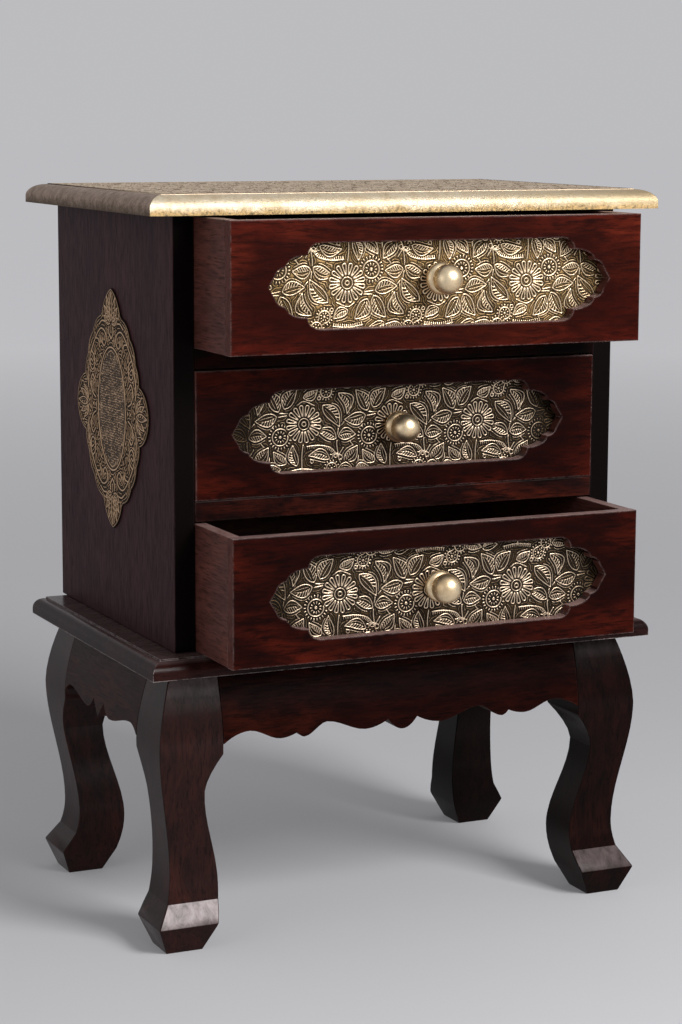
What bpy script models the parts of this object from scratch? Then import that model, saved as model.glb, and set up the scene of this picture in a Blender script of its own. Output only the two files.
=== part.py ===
"""Three-drawer nightstand with a brass-clad top, pierced drawer fronts and a scalloped stand.

Metres, +Z up, front towards -Y, left towards -X. Places are measured from the point on the floor
below the middle of the carcass's front, and the root empty carries that point to its place beside
the part's origin, which is the middle of its footprint with the drawers as they stand.
"""
import math

import bmesh
import bpy
from mathutils import Matrix

# Fits
GAP = 0.0003            # between pieces that touch
SIDE_PLAY = 0.0006      # between a drawer and the side panel
HEADROOM = 0.0016       # above each drawer
STOP_PLAY = 0.0010      # behind a shut drawer
ARRIS = 0.0008          # rounding of the visible wooden edges
WELD = 0.00002          # vertices closer than this become one

# Carcass
CARCASS_WIDTH = 0.400
CARCASS_DEPTH = 0.2817
SIDE_THICK = 0.0176
BACK_THICK = 0.008
RAIL_THICK = 0.0166
RAIL_DEPTH = 0.040
RUNNER_WIDTH = 0.020

# Lips of the top and the base board past the carcass
SIDE_LIP = 0.0285
FRONT_LIP = 0.0254
TOP_BACK_LIP = 0.0027

# Top: moulded board, brass edge strips and embossed brass sheet
TOP_FILLET = 0.0055     # upright part of the edge
TOP_RISE = 0.0104       # height of the rounded part
TOP_RUN = 0.0150        # how far the rounded part runs in
EDGE_SHEET = 0.0008
TOP_SHEET = 0.0016
MOULDING_STEPS = 6

# Base board
BASE_THICK = 0.0158
BASE_FILLET = 0.0048
BASE_RISE = 0.0096
BASE_RUN = 0.0095

# Drawers
DRAWER_HEIGHT = 0.1042
FRONT_THICK = 0.011
DRAWER_SIDE = 0.0105
DRAWER_BACK = 0.0105
DRAWER_FLOOR = 0.005
FLOOR_LIFT = 0.006
FLOOR_GROOVE = 0.004
BACKING_THICK = 0.006
BACKING_DROP = 0.003    # backing's top edge below the drawer's rim
PLATE_THICK = 0.0012
PLATE_LAP = 0.007       # plate hidden behind the wood around the opening
DRAWERS = (
    ("bottom_drawer", 0.078, 0.001),
    ("middle_drawer", 0.0013, -0.0008),
    ("top_drawer", 0.075, 0.0035),
)                       # name, how far it stands open, knob above the middle

# Pierced opening of a drawer front: lobes step out to a point at each end
OPENING_RIM = 0.0186    # wood above and below the opening
OPENING_ENDS = (0.0320, 0.0293)   # wood beyond the left and the right point
LOBE_START = 0.0435     # end of the straight edge, back from the point
# Ends of the lobes: back from the point, off the middle, fullness from 0, straight, to 1, a quarter oval
LOBES = ((0.0330, 0.0243, 1.0), (0.0140, 0.0152, 0.95), (0.0055, 0.0088, 0.8))
LOBE_STEPS = 5

# Knob, two turned beads on a neck, and its screw
KNOB_NECK = (0.0068, 0.0028)          # radius, length
KNOB_REAR = (0.0131, 0.0065)          # radius, half length
KNOB_GROOVE = 0.0095                  # radius between the beads
KNOB_FRONT = (0.0121, 0.0115)         # radius, half length
BEAD_STEPS = 8
TURN_STEPS = 28
SCREW_RADIUS = 0.0020
SCREW_HEAD = (0.0045, 0.0024)         # radius, height
SCREW_BITE = 0.010                    # length inside the knob
HOLE_SIDES = 16

# Legs: one template sawn from both sides, its insets measured from the hoof's outer edge
LEG_HEIGHT = 0.2312
LEG_SETBACK = 0.0063                  # hoof's edge in from the base board's edge
HOOF_HEIGHT = 0.0231
FOOT_IN = 0.0092
HOOF_SLOPE = (0.0405, 0.0111)         # top of the hoof's flat slope: height, inset
ANKLE = (0.0640, 0.0146)              # height, inset
KNEE_DROP = 0.0602                    # below the base board
KNEE_IN = 0.0019
SHOULDER_IN = 0.0160
FOOT_INNER = 0.0408
HEEL = (0.0205, 0.0508)               # height, inset
CALF = (0.0537, 0.0568)               # height, inset
NECK_DROP = 0.0970
NECK_INNER = 0.0422
BLOCK_DROP = 0.0668                   # foot of the square upper block
BLOCK_INNER = 0.0572
LATE_BEND = 1.6                       # power of the curves that turn in near their upper end
LEG_STEPS = 7

# Aprons: flush with the knees in front, flat behind, tenoned into the legs
APRON_BACK = 0.026                    # back face, in from the knee
TENON_WALL = 0.002                    # wood outside a tenon at the shoulder
TENON_LONG = 0.016
TENON_THICK = 0.008
TENON_DROP = 0.008                    # below the apron's top
TENON_HIGH = 0.026
SCALLOP_STEPS = 6
# Scallop stations: share of the way from the middle to the leg, drop below the base board, kind
FRONT_SCALLOP = (
    (0.0, 0.0616, "round"), (0.082, 0.0524, "point"), (0.212, 0.0586, "round"),
    (0.427, 0.0490, "round"), (0.555, 0.0594, "round"), (0.595, 0.0553, "point"),
    (0.688, 0.0588, "round"), (0.855, 0.0500, "round"), (1.0, 0.0589, "point"),
)
SIDE_SCALLOP = (
    (0.0, 0.0636, "point"), (0.137, 0.0491, "point"), (0.306, 0.0594, "round"),
    (0.83, 0.0507, "round"), (1.0, 0.0582, "point"),
)
FRONT_SHIFT = -0.004                  # the scallops were sawn a little off the middle
SIDE_SHIFT = 0.004

# Side medallions: a scalloped oval with four lobes
MEDALLION_LIFT = 0.0072               # above the middle of the side
MEDALLION_THICK = 0.0016
MEDALLION_OVAL = (0.0705, 0.0860)     # half width, half height
MEDALLION_LOBE = (0.0680, 0.0240, 0.1018)   # upper and lower lobes: widest place, half width, tip
MEDALLION_SIDE = (0.0620, 0.0250, 0.0880)   # side lobes, the same
MEDALLION_SCALLOPS = 20               # round the whole oval
SCALLOP_DEEP = 0.0020                 # notches between the scallops
SCALLOP_POINTS = 6
SHEET_ARRIS = 0.0005                  # rounding of the brass pieces' edges

# Worked-out places of the cabinet
TOP_WIDTH = CARCASS_WIDTH + 2 * SIDE_LIP
TOP_BACK = CARCASS_DEPTH + TOP_BACK_LIP
BASE_MIDDLE = (CARCASS_DEPTH - FRONT_LIP) / 2
BASE_TOP = LEG_HEIGHT + BASE_THICK
LEG_TOP = LEG_HEIGHT - GAP
LEG_REACH_X = TOP_WIDTH / 2 - LEG_SETBACK
LEG_REACH_Y = (CARCASS_DEPTH + FRONT_LIP) / 2 - LEG_SETBACK
DRAWER_PITCH = GAP + DRAWER_HEIGHT + HEADROOM + RAIL_THICK
TOP_UNDER = BASE_TOP + len(DRAWERS) * DRAWER_PITCH - RAIL_THICK
TOP_CORE = TOP_FILLET + TOP_RISE - EDGE_SHEET - GAP
INNER_HALF = CARCASS_WIDTH / 2 - SIDE_THICK

# Worked-out places in a drawer, from the foot of its front's face
DRAWER_HALF = INNER_HALF - SIDE_PLAY
DRAWER_LONG = CARCASS_DEPTH - BACK_THICK - STOP_PLAY
DRAWER_INNER = DRAWER_HALF - DRAWER_SIDE
FLOOR_TOP = FLOOR_LIFT + DRAWER_FLOOR
OPENING_TIP = DRAWER_HALF - sum(OPENING_ENDS) / 2
OPENING_MIDDLE = (OPENING_ENDS[0] - OPENING_ENDS[1]) / 2
OPENING_HIGH = DRAWER_HEIGHT / 2 - OPENING_RIM
PLATE_FACE = FRONT_THICK + GAP
BACKING_FACE = PLATE_FACE + PLATE_THICK + GAP
BACKING_REAR = BACKING_FACE + BACKING_THICK
KNOB_FOOT = PLATE_FACE - GAP
KNOB_REAR_MIDDLE = KNOB_NECK[1] + KNOB_REAR[1] * math.sqrt(1 - (KNOB_NECK[0] / KNOB_REAR[0]) ** 2)
KNOB_WAIST = KNOB_REAR_MIDDLE + KNOB_REAR[1] * math.sqrt(1 - (KNOB_GROOVE / KNOB_REAR[0]) ** 2)
KNOB_FRONT_MIDDLE = KNOB_WAIST + KNOB_FRONT[1] * math.sqrt(1 - (KNOB_GROOVE / KNOB_FRONT[0]) ** 2)
KNOB_LONG = KNOB_FRONT_MIDDLE + KNOB_FRONT[1]
SCREW_HOLE = SCREW_RADIUS + GAP

# The root's place, which centres the footprint on the origin
FRONT_MOST = min(-FRONT_LIP, KNOB_FOOT - KNOB_LONG - max(open_by for name, open_by, knob_lift in DRAWERS))
ROOT_Y = -(FRONT_MOST + TOP_BACK) / 2

# Finishes: colour, roughness, metallic
DARK_WOOD = ((0.035, 0.024, 0.022), 0.42, 0.0)
RED_WOOD = ((0.085, 0.026, 0.017), 0.38, 0.0)
PLAIN_WOOD = ((0.16, 0.085, 0.05), 0.6, 0.0)
BRIGHT_BRASS = ((0.72, 0.56, 0.30), 0.28, 1.0)
OLD_BRASS = ((0.46, 0.37, 0.21), 0.40, 1.0)
STEEL = ((0.45, 0.44, 0.42), 0.35, 1.0)

# Which way an outline's own x, y and thickness run
FACING_FRONT = Matrix(((1, 0, 0), (0, 0, -1), (0, 1, 0))).to_4x4()
FACING_SIDE = Matrix(((0, 0, 1), (1, 0, 0), (0, 1, 0))).to_4x4()


def clear_scene():
    for old in list(bpy.data.objects):
        bpy.data.objects.remove(old, do_unlink=True)


def new_collection(name):
    collection = bpy.data.collections.new(name)
    bpy.context.scene.collection.children.link(collection)
    return collection


def new_empty(name, place, parent=None):
    empty = bpy.data.objects.new(name, None)
    empty.empty_display_size = DRAWER_HEIGHT / 2
    empty.location = place
    empty.parent = parent
    PARTS.objects.link(empty)
    return empty


def finish_part(obj, parent, finish):
    """Parent a part and give it its own material."""
    colour, roughness, metallic = finish
    material = bpy.data.materials.new(obj.name)
    material.use_nodes = True
    shader = material.node_tree.nodes["Principled BSDF"]
    shader.inputs["Base Color"].default_value = (*colour, 1.0)
    shader.inputs["Roughness"].default_value = roughness
    shader.inputs["Metallic"].default_value = metallic
    obj.data.materials.clear()
    obj.data.materials.append(material)
    obj.parent = parent
    return obj


def mesh_object(name, bm, collection):
    bmesh.ops.recalc_face_normals(bm, faces=bm.faces[:])
    mesh = bpy.data.meshes.new(name)
    bm.to_mesh(mesh)
    bm.free()
    obj = bpy.data.objects.new(name, mesh)
    collection.objects.link(obj)
    return obj


def box(name, low, high, collection=None):
    """A box between two corners."""
    size = [top - bottom for bottom, top in zip(low, high)]
    middle = [(top + bottom) / 2 for bottom, top in zip(low, high)]
    place = Matrix.Translation(middle) @ Matrix.Diagonal((*size, 1.0))
    bm = bmesh.new()
    bmesh.ops.create_cube(bm, size=1.0, matrix=place)
    return mesh_object(name, bm, collection or PARTS)


def stacked_block(name, rings):
    """A box with a loop cut for each ring (x low, x high, y low, y high, z), shaped to the rings."""
    bm = bmesh.new()
    bmesh.ops.create_cube(bm, size=1.0)
    upright = [edge for edge in bm.edges if abs(edge.verts[0].co.z - edge.verts[1].co.z) > 0.5]
    bmesh.ops.subdivide_edges(bm, edges=upright, cuts=len(rings) - 2)
    for vert in bm.verts:
        x_low, x_high, y_low, y_high, z = rings[round((vert.co.z + 0.5) * (len(rings) - 1))]
        vert.co.x = x_high if vert.co.x > 0 else x_low
        vert.co.y = y_high if vert.co.y > 0 else y_low
        vert.co.z = z
    return mesh_object(name, bm, PARTS)


def outline_solid(name, loops, thickness, facing, rounding=0.0, collection=None):
    """A flat outline, with any holes, given a thickness about its own plane."""
    curve = bpy.data.curves.new(name, "CURVE")
    curve.dimensions = "2D"
    curve.fill_mode = "BOTH"
    curve.extrude = thickness / 2 - rounding
    curve.bevel_depth = rounding
    curve.bevel_resolution = 1
    curve.offset = -rounding
    for loop in loops:
        spline = curve.splines.new("POLY")
        spline.points.add(len(loop) - 1)
        for point, (x, y) in zip(spline.points, loop):
            point.co = (x, y, 0.0, 1.0)
        spline.use_cyclic_u = True
    drawn = bpy.data.objects.new(name + "_outline", curve)
    PARTS.objects.link(drawn)
    drawn_now = drawn.evaluated_get(bpy.context.evaluated_depsgraph_get())
    mesh = bpy.data.meshes.new_from_object(drawn_now)
    bpy.data.objects.remove(drawn, do_unlink=True)
    bm = bmesh.new()
    bm.from_mesh(mesh)
    bpy.data.meshes.remove(mesh)
    bmesh.ops.remove_doubles(bm, verts=bm.verts[:], dist=WELD)
    bmesh.ops.transform(bm, matrix=facing, verts=bm.verts[:])
    return mesh_object(name, bm, collection or PARTS)


def turned(name, profile):
    """A profile of (radius, height) points turned about Z, top to bottom."""
    mesh = bpy.data.meshes.new(name)
    edges = [(index, index + 1) for index in range(len(profile) - 1)]
    mesh.from_pydata([(radius, 0.0, height) for radius, height in profile], edges, [])
    obj = bpy.data.objects.new(name, mesh)
    PARTS.objects.link(obj)
    screw = obj.modifiers.new("turn", "SCREW")
    screw.steps = TURN_STEPS
    screw.render_steps = TURN_STEPS
    screw.use_merge_vertices = True
    screw.merge_threshold = WELD
    return obj


def round_arrises(obj, width=ARRIS):
    bevel = obj.modifiers.new("arrises", "BEVEL")
    bevel.width = width
    bevel.segments = 2
    bevel.limit_method = "ANGLE"
    return obj


def combine(obj, other, operation):
    """Cut another solid out of a part, or add it on; the other solid isn't a part itself."""
    boolean = obj.modifiers.new(other.name, "BOOLEAN")
    boolean.operation = operation
    boolean.solver = "EXACT"
    boolean.object = other
    other.parent = obj.parent
    other.hide_render = True
    other.display_type = "WIRE"


def drill(obj, name, radius, front, rear, z):
    """A hole along Y through a drawer piece."""
    bm = bmesh.new()
    turn = Matrix.Translation((0.0, (front + rear) / 2, z)) @ Matrix.Rotation(math.pi / 2, 4, "X")
    bmesh.ops.create_cone(bm, cap_ends=True, segments=HOLE_SIDES, radius1=radius, radius2=radius,
                          depth=rear - front, matrix=turn)
    combine(obj, mesh_object(name, bm, CUTTERS), "DIFFERENCE")


def quarter_oval(start, end, steps, flat_first=True):
    """Points from start to end on a quarter of an oval, leaving along x if flat_first, else along y."""
    points = []
    for step in range(1, steps + 1):
        turn = math.pi / 2 * step / steps
        early = math.sin(turn)
        late = 1 - math.cos(turn)
        share_x, share_y = (early, late) if flat_first else (late, early)
        points.append((start[0] + (end[0] - start[0]) * share_x, start[1] + (end[1] - start[1]) * share_y))
    return points


def moulded_edge(fillet, run, rise):
    """Inset and height along a thumbnail moulding, from its foot to the end of its round."""
    upright = [(0.0, 0.0), (0.0, fillet)]
    return upright + quarter_oval(upright[-1], (run, fillet + rise), MOULDING_STEPS, flat_first=False)


def moulded_rings(half_x, front, back, low, edge):
    return [(inset - half_x, half_x - inset, front + inset, back - inset, low + z) for inset, z in edge]


def build_top(root):
    """Moulded wooden board, four mitred brass strips on its edges, and the brass sheet on its face."""
    half_x = TOP_WIDTH / 2
    skin = EDGE_SHEET + GAP
    core_edge = moulded_edge(TOP_FILLET, TOP_RUN - skin, TOP_RISE - skin)
    rings = moulded_rings(half_x - skin, skin - FRONT_LIP, TOP_BACK - skin, TOP_UNDER, core_edge)
    finish_part(stacked_block("top_board", rings), root, DARK_WOOD)

    rim = TOP_RUN + GAP
    sheet_low = TOP_UNDER + TOP_CORE + GAP
    sheet = box("top_brass_sheet", (rim - half_x, rim - FRONT_LIP, sheet_low),
                (half_x - rim, TOP_BACK - rim, sheet_low + TOP_SHEET))
    finish_part(round_arrises(sheet, SHEET_ARRIS), root, OLD_BRASS)

    outside = moulded_edge(TOP_FILLET, TOP_RUN, TOP_RISE)
    inside = moulded_edge(TOP_FILLET, TOP_RUN - EDGE_SHEET, TOP_RISE - EDGE_SHEET)
    section = outside + [(EDGE_SHEET + inset, z) for inset, z in reversed(inside)]
    half_y = (TOP_BACK + FRONT_LIP) / 2
    middle = Matrix.Translation((0.0, (TOP_BACK - FRONT_LIP) / 2, TOP_UNDER))
    for turns, name in enumerate(("front", "right", "back", "left")):
        half_long, half_away = (half_x, half_y) if turns % 2 == 0 else (half_y, half_x)
        strip = outline_solid("brass_edge_" + name, [section], 2 * half_long, FACING_SIDE)
        for vert in strip.data.vertices:
            vert.co.x = math.copysign(half_long - GAP - vert.co.y, vert.co.x)
            vert.co.y -= half_away
        strip.data.transform(middle @ Matrix.Rotation(turns * math.pi / 2, 4, "Z"))
        finish_part(strip, root, BRIGHT_BRASS)


def build_carcass(root):
    """Base board, two side panels, a back panel, two drawer rails and their runners."""
    edge = moulded_edge(BASE_FILLET, BASE_RUN, BASE_RISE) + [(BASE_RUN, BASE_THICK)]
    rings = moulded_rings(TOP_WIDTH / 2, -FRONT_LIP, CARCASS_DEPTH, LEG_HEIGHT, edge)
    finish_part(stacked_block("base_board", rings), root, DARK_WOOD)

    low = BASE_TOP + GAP
    high = TOP_UNDER - GAP
    for side, name in ((-1, "left"), (1, "right")):
        x_low, x_high = sorted((side * INNER_HALF, side * CARCASS_WIDTH / 2))
        panel = box(name + "_side_panel", (x_low, 0.0, low), (x_high, CARCASS_DEPTH, high))
        finish_part(round_arrises(panel), root, DARK_WOOD)
    inside = INNER_HALF - GAP
    back_face = CARCASS_DEPTH - BACK_THICK
    back = box("back_panel", (-inside, back_face, low), (inside, CARCASS_DEPTH, high))
    finish_part(back, root, PLAIN_WOOD)

    for level, name in ((1, "lower"), (2, "upper")):
        rail_top = BASE_TOP + level * DRAWER_PITCH
        rail_low = rail_top - RAIL_THICK
        rail = box(name + "_rail", (-inside, 0.0, rail_low), (inside, RAIL_DEPTH, rail_top))
        finish_part(round_arrises(rail), root, DARK_WOOD)
        for side, hand in ((-1, "left"), (1, "right")):
            x_low, x_high = sorted((side * inside, side * (inside - RUNNER_WIDTH)))
            runner = box(f"{name}_{hand}_runner", (x_low, RAIL_DEPTH + GAP, rail_low),
                         (x_high, back_face - GAP, rail_top))
            finish_part(runner, root, PLAIN_WOOD)


def blend(z, start, end, shape):
    """Value at height z on a curve between two (height, value) points."""
    share = (z - start[0]) / (end[0] - start[0])
    if shape == "wave":
        share = share * share * (3 - 2 * share)
    elif shape == "late":
        share = share ** LATE_BEND
    elif shape == "early":
        share = 1 - (1 - share) ** 2
    return start[1] + (end[1] - start[1]) * share


def leg_curve(z, stations):
    """Inset at height z on a template edge of (height, inset, shape of the curve up to here)."""
    for start, end in zip(stations, stations[1:]):
        if z <= end[0]:
            return blend(z, start, end, end[2])
    return stations[-1][1]


def leg_outer(z):
    """Inset of a leg's outer faces at height z."""
    knee = LEG_HEIGHT - KNEE_DROP
    return leg_curve(z, ((0.0, FOOT_IN, ""), (HOOF_HEIGHT, 0.0, "line"), (*HOOF_SLOPE, "line"),
                         (*ANKLE, "early"), (knee, KNEE_IN, "wave"), (LEG_HEIGHT, SHOULDER_IN, "late")))


def leg_inner(z):
    """Inset of a leg's inner faces at height z."""
    neck = LEG_HEIGHT - NECK_DROP
    block = LEG_HEIGHT - BLOCK_DROP
    return leg_curve(z, ((0.0, FOOT_INNER, ""), (*HEEL, "line"), (*CALF, "early"),
                         (neck, NECK_INNER, "wave"), (block, BLOCK_INNER, "late")))


def leg_heights():
    """Heights of a leg's rings: its stations, with steps between them."""
    drops = [LEG_HEIGHT - drop for drop in (NECK_DROP, BLOCK_DROP, KNEE_DROP)]
    marks = sorted([0.0, HEEL[0], HOOF_HEIGHT, HOOF_SLOPE[0], CALF[0], ANKLE[0], LEG_TOP] + drops)
    long_stretch = max(high - low for low, high in zip(marks, marks[1:]))
    heights = []
    for low, high in zip(marks, marks[1:]):
        steps = math.ceil(LEG_STEPS * (high - low) / long_stretch)
        heights += [low + (high - low) * step / steps for step in range(steps)]
    return heights + [LEG_TOP]


def tenon_span():
    """Outer and inner face of the tenons as insets, and their lower and upper height."""
    outer = SHOULDER_IN + TENON_WALL
    high = LEG_TOP - TENON_DROP
    return outer, outer + TENON_THICK, high - TENON_HIGH, high


def build_leg(root, name, side_x, side_y):
    """One leg, with a mortise for each of its two aprons."""
    rings = []
    for z in leg_heights():
        insets = (leg_inner(z), leg_outer(z))
        x_span = sorted(side_x * (LEG_REACH_X - inset) for inset in insets)
        y_span = sorted(BASE_MIDDLE + side_y * (LEG_REACH_Y - inset) for inset in insets)
        rings.append((*x_span, *y_span, z))
    leg = finish_part(stacked_block(name, rings), root, DARK_WOOD)
    round_arrises(leg)
    outer, inner, low, high = tenon_span()
    across = (inner + GAP, outer - GAP)
    inwards = (BLOCK_INNER + GAP, BLOCK_INNER - TENON_LONG - GAP)
    for along, in_x, in_y in (("x", inwards, across), ("y", across, inwards)):
        x_span = sorted(side_x * (LEG_REACH_X - inset) for inset in in_x)
        y_span = sorted(BASE_MIDDLE + side_y * (LEG_REACH_Y - inset) for inset in in_y)
        mortise = box(f"{name}_mortise_{along}", (x_span[0], y_span[0], low - GAP),
                      (x_span[1], y_span[1], high + GAP), CUTTERS)
        combine(leg, mortise, "DIFFERENCE")


def scallop_line(stations, half, shift):
    """Points of a scalloped lower edge from one leg to the other."""
    points = []
    for (share, drop, kind), (next_share, next_drop, next_kind) in zip(stations, stations[1:]):
        for step in range(SCALLOP_STEPS):
            part = step / SCALLOP_STEPS
            if kind == next_kind:
                bend = part if kind == "point" else part * part * (3 - 2 * part)
            else:
                bend = part * part if kind == "round" else 1 - (1 - part) ** 2
            points.append((share + (next_share - share) * part, drop + (next_drop - drop) * bend))
    points.append(stations[-1][:2])
    line = [(-share, drop) for share, drop in reversed(points[1:])] + points
    return [(share * half + shift * (1 - abs(share)), LEG_HEIGHT - drop) for share, drop in line]


def build_apron(root, name, stations, shift, half, reach, turns):
    """An apron between two legs, moulded like their knees, scalloped and tenoned at both ends."""
    knee = LEG_HEIGHT - KNEE_DROP
    heights = [knee + (LEG_TOP - knee) * step / LEG_STEPS for step in range(LEG_STEPS + 1)]
    line = scallop_line(stations, half, shift)
    below = min(z for x, z in line) - APRON_BACK
    back = KNEE_IN + APRON_BACK
    section = [(KNEE_IN, below)] + [(leg_outer(z), z) for z in heights] + [(back, LEG_TOP), (back, below)]
    apron = finish_part(outline_solid(name, [section], 2 * (half - GAP), FACING_SIDE), root, DARK_WOOD)

    past = half + APRON_BACK
    waste = [(-past, below - APRON_BACK), (past, below - APRON_BACK), (past, line[-1][1])]
    waste += line[::-1] + [(-past, line[0][1])]
    saw = outline_solid(name + "_scallop", [waste], 4 * APRON_BACK, FACING_FRONT, collection=CUTTERS)
    outer, inner, low, high = tenon_span()
    tenon_end = half + TENON_LONG
    tenons = box(name + "_tenons", (-tenon_end, outer, low), (tenon_end, inner, high), CUTTERS)
    combine(apron, saw, "DIFFERENCE")
    combine(apron, tenons, "UNION")
    place = Matrix.Translation((0.0, BASE_MIDDLE, 0.0)) @ Matrix.Rotation(turns * math.pi / 2, 4, "Z")
    for piece in (apron, saw, tenons):
        piece.data.transform(place @ Matrix.Translation((0.0, -reach, 0.0)))


def build_stand(root):
    """Four legs and the four aprons between them."""
    for side_y, near in ((-1, "front"), (1, "back")):
        for side_x, hand in ((-1, "left"), (1, "right")):
            build_leg(root, f"{near}_{hand}_leg", side_x, side_y)
    half_x = LEG_REACH_X - BLOCK_INNER
    half_y = LEG_REACH_Y - BLOCK_INNER
    build_apron(root, "front_apron", FRONT_SCALLOP, FRONT_SHIFT, half_x, LEG_REACH_Y, 0)
    build_apron(root, "right_apron", SIDE_SCALLOP, SIDE_SHIFT, half_y, LEG_REACH_X, 1)
    build_apron(root, "back_apron", FRONT_SCALLOP, -FRONT_SHIFT, half_x, LEG_REACH_Y, 2)
    build_apron(root, "left_apron", SIDE_SCALLOP, -SIDE_SHIFT, half_y, LEG_REACH_X, 3)


def lobe_reach(sizes, across, along):
    """Distance from the medallion's middle to a pointed lobe's edge, in a direction given by its shares."""
    widest, half_wide, tip = sizes
    bow = ((tip - widest) ** 2 + half_wide ** 2) / (2 * half_wide)
    sink = bow - half_wide
    toward = widest * along - sink * across
    inside = toward ** 2 + bow ** 2 - widest ** 2 - sink ** 2
    return toward + math.sqrt(inside) if inside > 0 else 0.0


def medallion_outline():
    """A scalloped oval with four pointed lobes."""
    half_wide, half_high = MEDALLION_OVAL
    points = []
    count = MEDALLION_SCALLOPS * SCALLOP_POINTS
    for index in range(count):
        angle = 2 * math.pi * index / count
        along = abs(math.cos(angle))
        up = abs(math.sin(angle))
        oval = half_wide * half_high / math.hypot(half_high * along, half_wide * up)
        oval -= SCALLOP_DEEP * (1 - abs(math.sin(angle * MEDALLION_SCALLOPS / 2)))
        reach = max(oval, lobe_reach(MEDALLION_LOBE, along, up), lobe_reach(MEDALLION_SIDE, up, along))
        points.append((reach * math.cos(angle), reach * math.sin(angle)))
    return points


def build_medallions(root):
    middle_z = (BASE_TOP + TOP_UNDER) / 2 + MEDALLION_LIFT
    for side, name in ((-1, "left"), (1, "right")):
        medallion = outline_solid(name + "_medallion", [medallion_outline()], MEDALLION_THICK,
                                  FACING_SIDE, SHEET_ARRIS)
        away = side * (CARCASS_WIDTH / 2 + GAP + MEDALLION_THICK / 2)
        medallion.data.transform(Matrix.Translation((away, CARCASS_DEPTH / 2, middle_z)))
        finish_part(medallion, root, OLD_BRASS)


def lobe(start, end, full):
    """Points from start to end on a bow between a straight line and a quarter of an oval."""
    points = []
    for step, bowed in enumerate(quarter_oval(start, end, LOBE_STEPS), start=1):
        flat = [low + (high - low) * step / LOBE_STEPS for low, high in zip(start, end)]
        points.append(tuple(low + full * (high - low) for low, high in zip(flat, bowed)))
    return points


def opening_outline():
    """The pierced opening: a quarter of lobes stepping to a pointed tip, mirrored about its middle."""
    quarter = [(OPENING_TIP - LOBE_START, OPENING_HIGH)]
    for back, off, full in LOBES:
        quarter += lobe(quarter[-1], (OPENING_TIP - back, off), full)
    quarter.append((OPENING_TIP, 0.0))
    right = quarter + [(x, -z) for x, z in reversed(quarter[:-1])]
    outline = right + [(-x, -z) for x, z in right]
    return [(x + OPENING_MIDDLE, z) for x, z in outline]


def bead(radius, half, middle, start, end):
    """Points down an oval bead from the angle start to the angle end, measured from its tip."""
    points = []
    for step in range(BEAD_STEPS + 1):
        angle = start + (end - start) * step / BEAD_STEPS
        points.append((radius * math.sin(angle), middle + half * math.cos(angle)))
    return points


def knob_profile():
    """Half outline of the knob: its front bead, rear bead and neck, then the screw hole."""
    front_end = math.pi - math.asin(KNOB_GROOVE / KNOB_FRONT[0])
    rear_start = math.asin(KNOB_GROOVE / KNOB_REAR[0])
    rear_end = math.pi - math.asin(KNOB_NECK[0] / KNOB_REAR[0])
    profile = bead(*KNOB_FRONT, KNOB_FRONT_MIDDLE, 0.0, front_end)
    profile += bead(*KNOB_REAR, KNOB_REAR_MIDDLE, rear_start, rear_end)[1:]
    hole_end = SCREW_BITE + GAP
    return profile + [(KNOB_NECK[0], 0.0), (SCREW_HOLE, 0.0), (SCREW_HOLE, hole_end), (0.0, hole_end)]


def screw_profile():
    """Half outline of the knob screw, from its tip to the back of its domed head."""
    head_radius, head_high = SCREW_HEAD
    tip = BACKING_REAR + GAP - KNOB_FOOT + SCREW_BITE
    dome = quarter_oval((head_radius, 0.0), (0.0, -head_high), LOBE_STEPS, flat_first=False)
    return [(0.0, tip), (SCREW_RADIUS, tip), (SCREW_RADIUS, 0.0), (head_radius, 0.0)] + dome


def build_drawer_front(slide, name):
    """Pierced front board."""
    half_high = DRAWER_HEIGHT / 2
    board = [(-DRAWER_HALF, -half_high), (DRAWER_HALF, -half_high),
             (DRAWER_HALF, half_high), (-DRAWER_HALF, half_high)]
    front = outline_solid(name + "_front", [board, opening_outline()], FRONT_THICK, FACING_FRONT, ARRIS)
    front.data.transform(Matrix.Translation((0.0, FRONT_THICK / 2, half_high)))
    finish_part(front, slide, RED_WOOD)


def build_drawer_box(slide, name):
    """Two grooved sides, the floor board in the grooves, and a back standing on the floor."""
    start = FRONT_THICK + GAP
    in_groove = DRAWER_INNER + FLOOR_GROOVE
    for side, hand in ((-1, "left"), (1, "right")):
        x_low, x_high = sorted((side * DRAWER_INNER, side * DRAWER_HALF))
        board = box(f"{name}_{hand}_side", (x_low, start, 0.0), (x_high, DRAWER_LONG, DRAWER_HEIGHT))
        finish_part(round_arrises(board), slide, RED_WOOD)
        x_low, x_high = sorted((side * (DRAWER_INNER - FLOOR_GROOVE), side * in_groove))
        groove = box(f"{name}_{hand}_groove", (x_low, 0.0, FLOOR_LIFT - GAP),
                     (x_high, DRAWER_LONG + start, FLOOR_TOP + GAP), CUTTERS)
        combine(board, groove, "DIFFERENCE")
    floor_half = in_groove - GAP
    floor = box(name + "_floor", (-floor_half, start, FLOOR_LIFT), (floor_half, DRAWER_LONG, FLOOR_TOP))
    finish_part(floor, slide, PLAIN_WOOD)
    inside = DRAWER_INNER - GAP
    back = box(name + "_back", (-inside, DRAWER_LONG - DRAWER_BACK, FLOOR_TOP + GAP),
               (inside, DRAWER_LONG, DRAWER_HEIGHT))
    finish_part(round_arrises(back), slide, PLAIN_WOOD)


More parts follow.
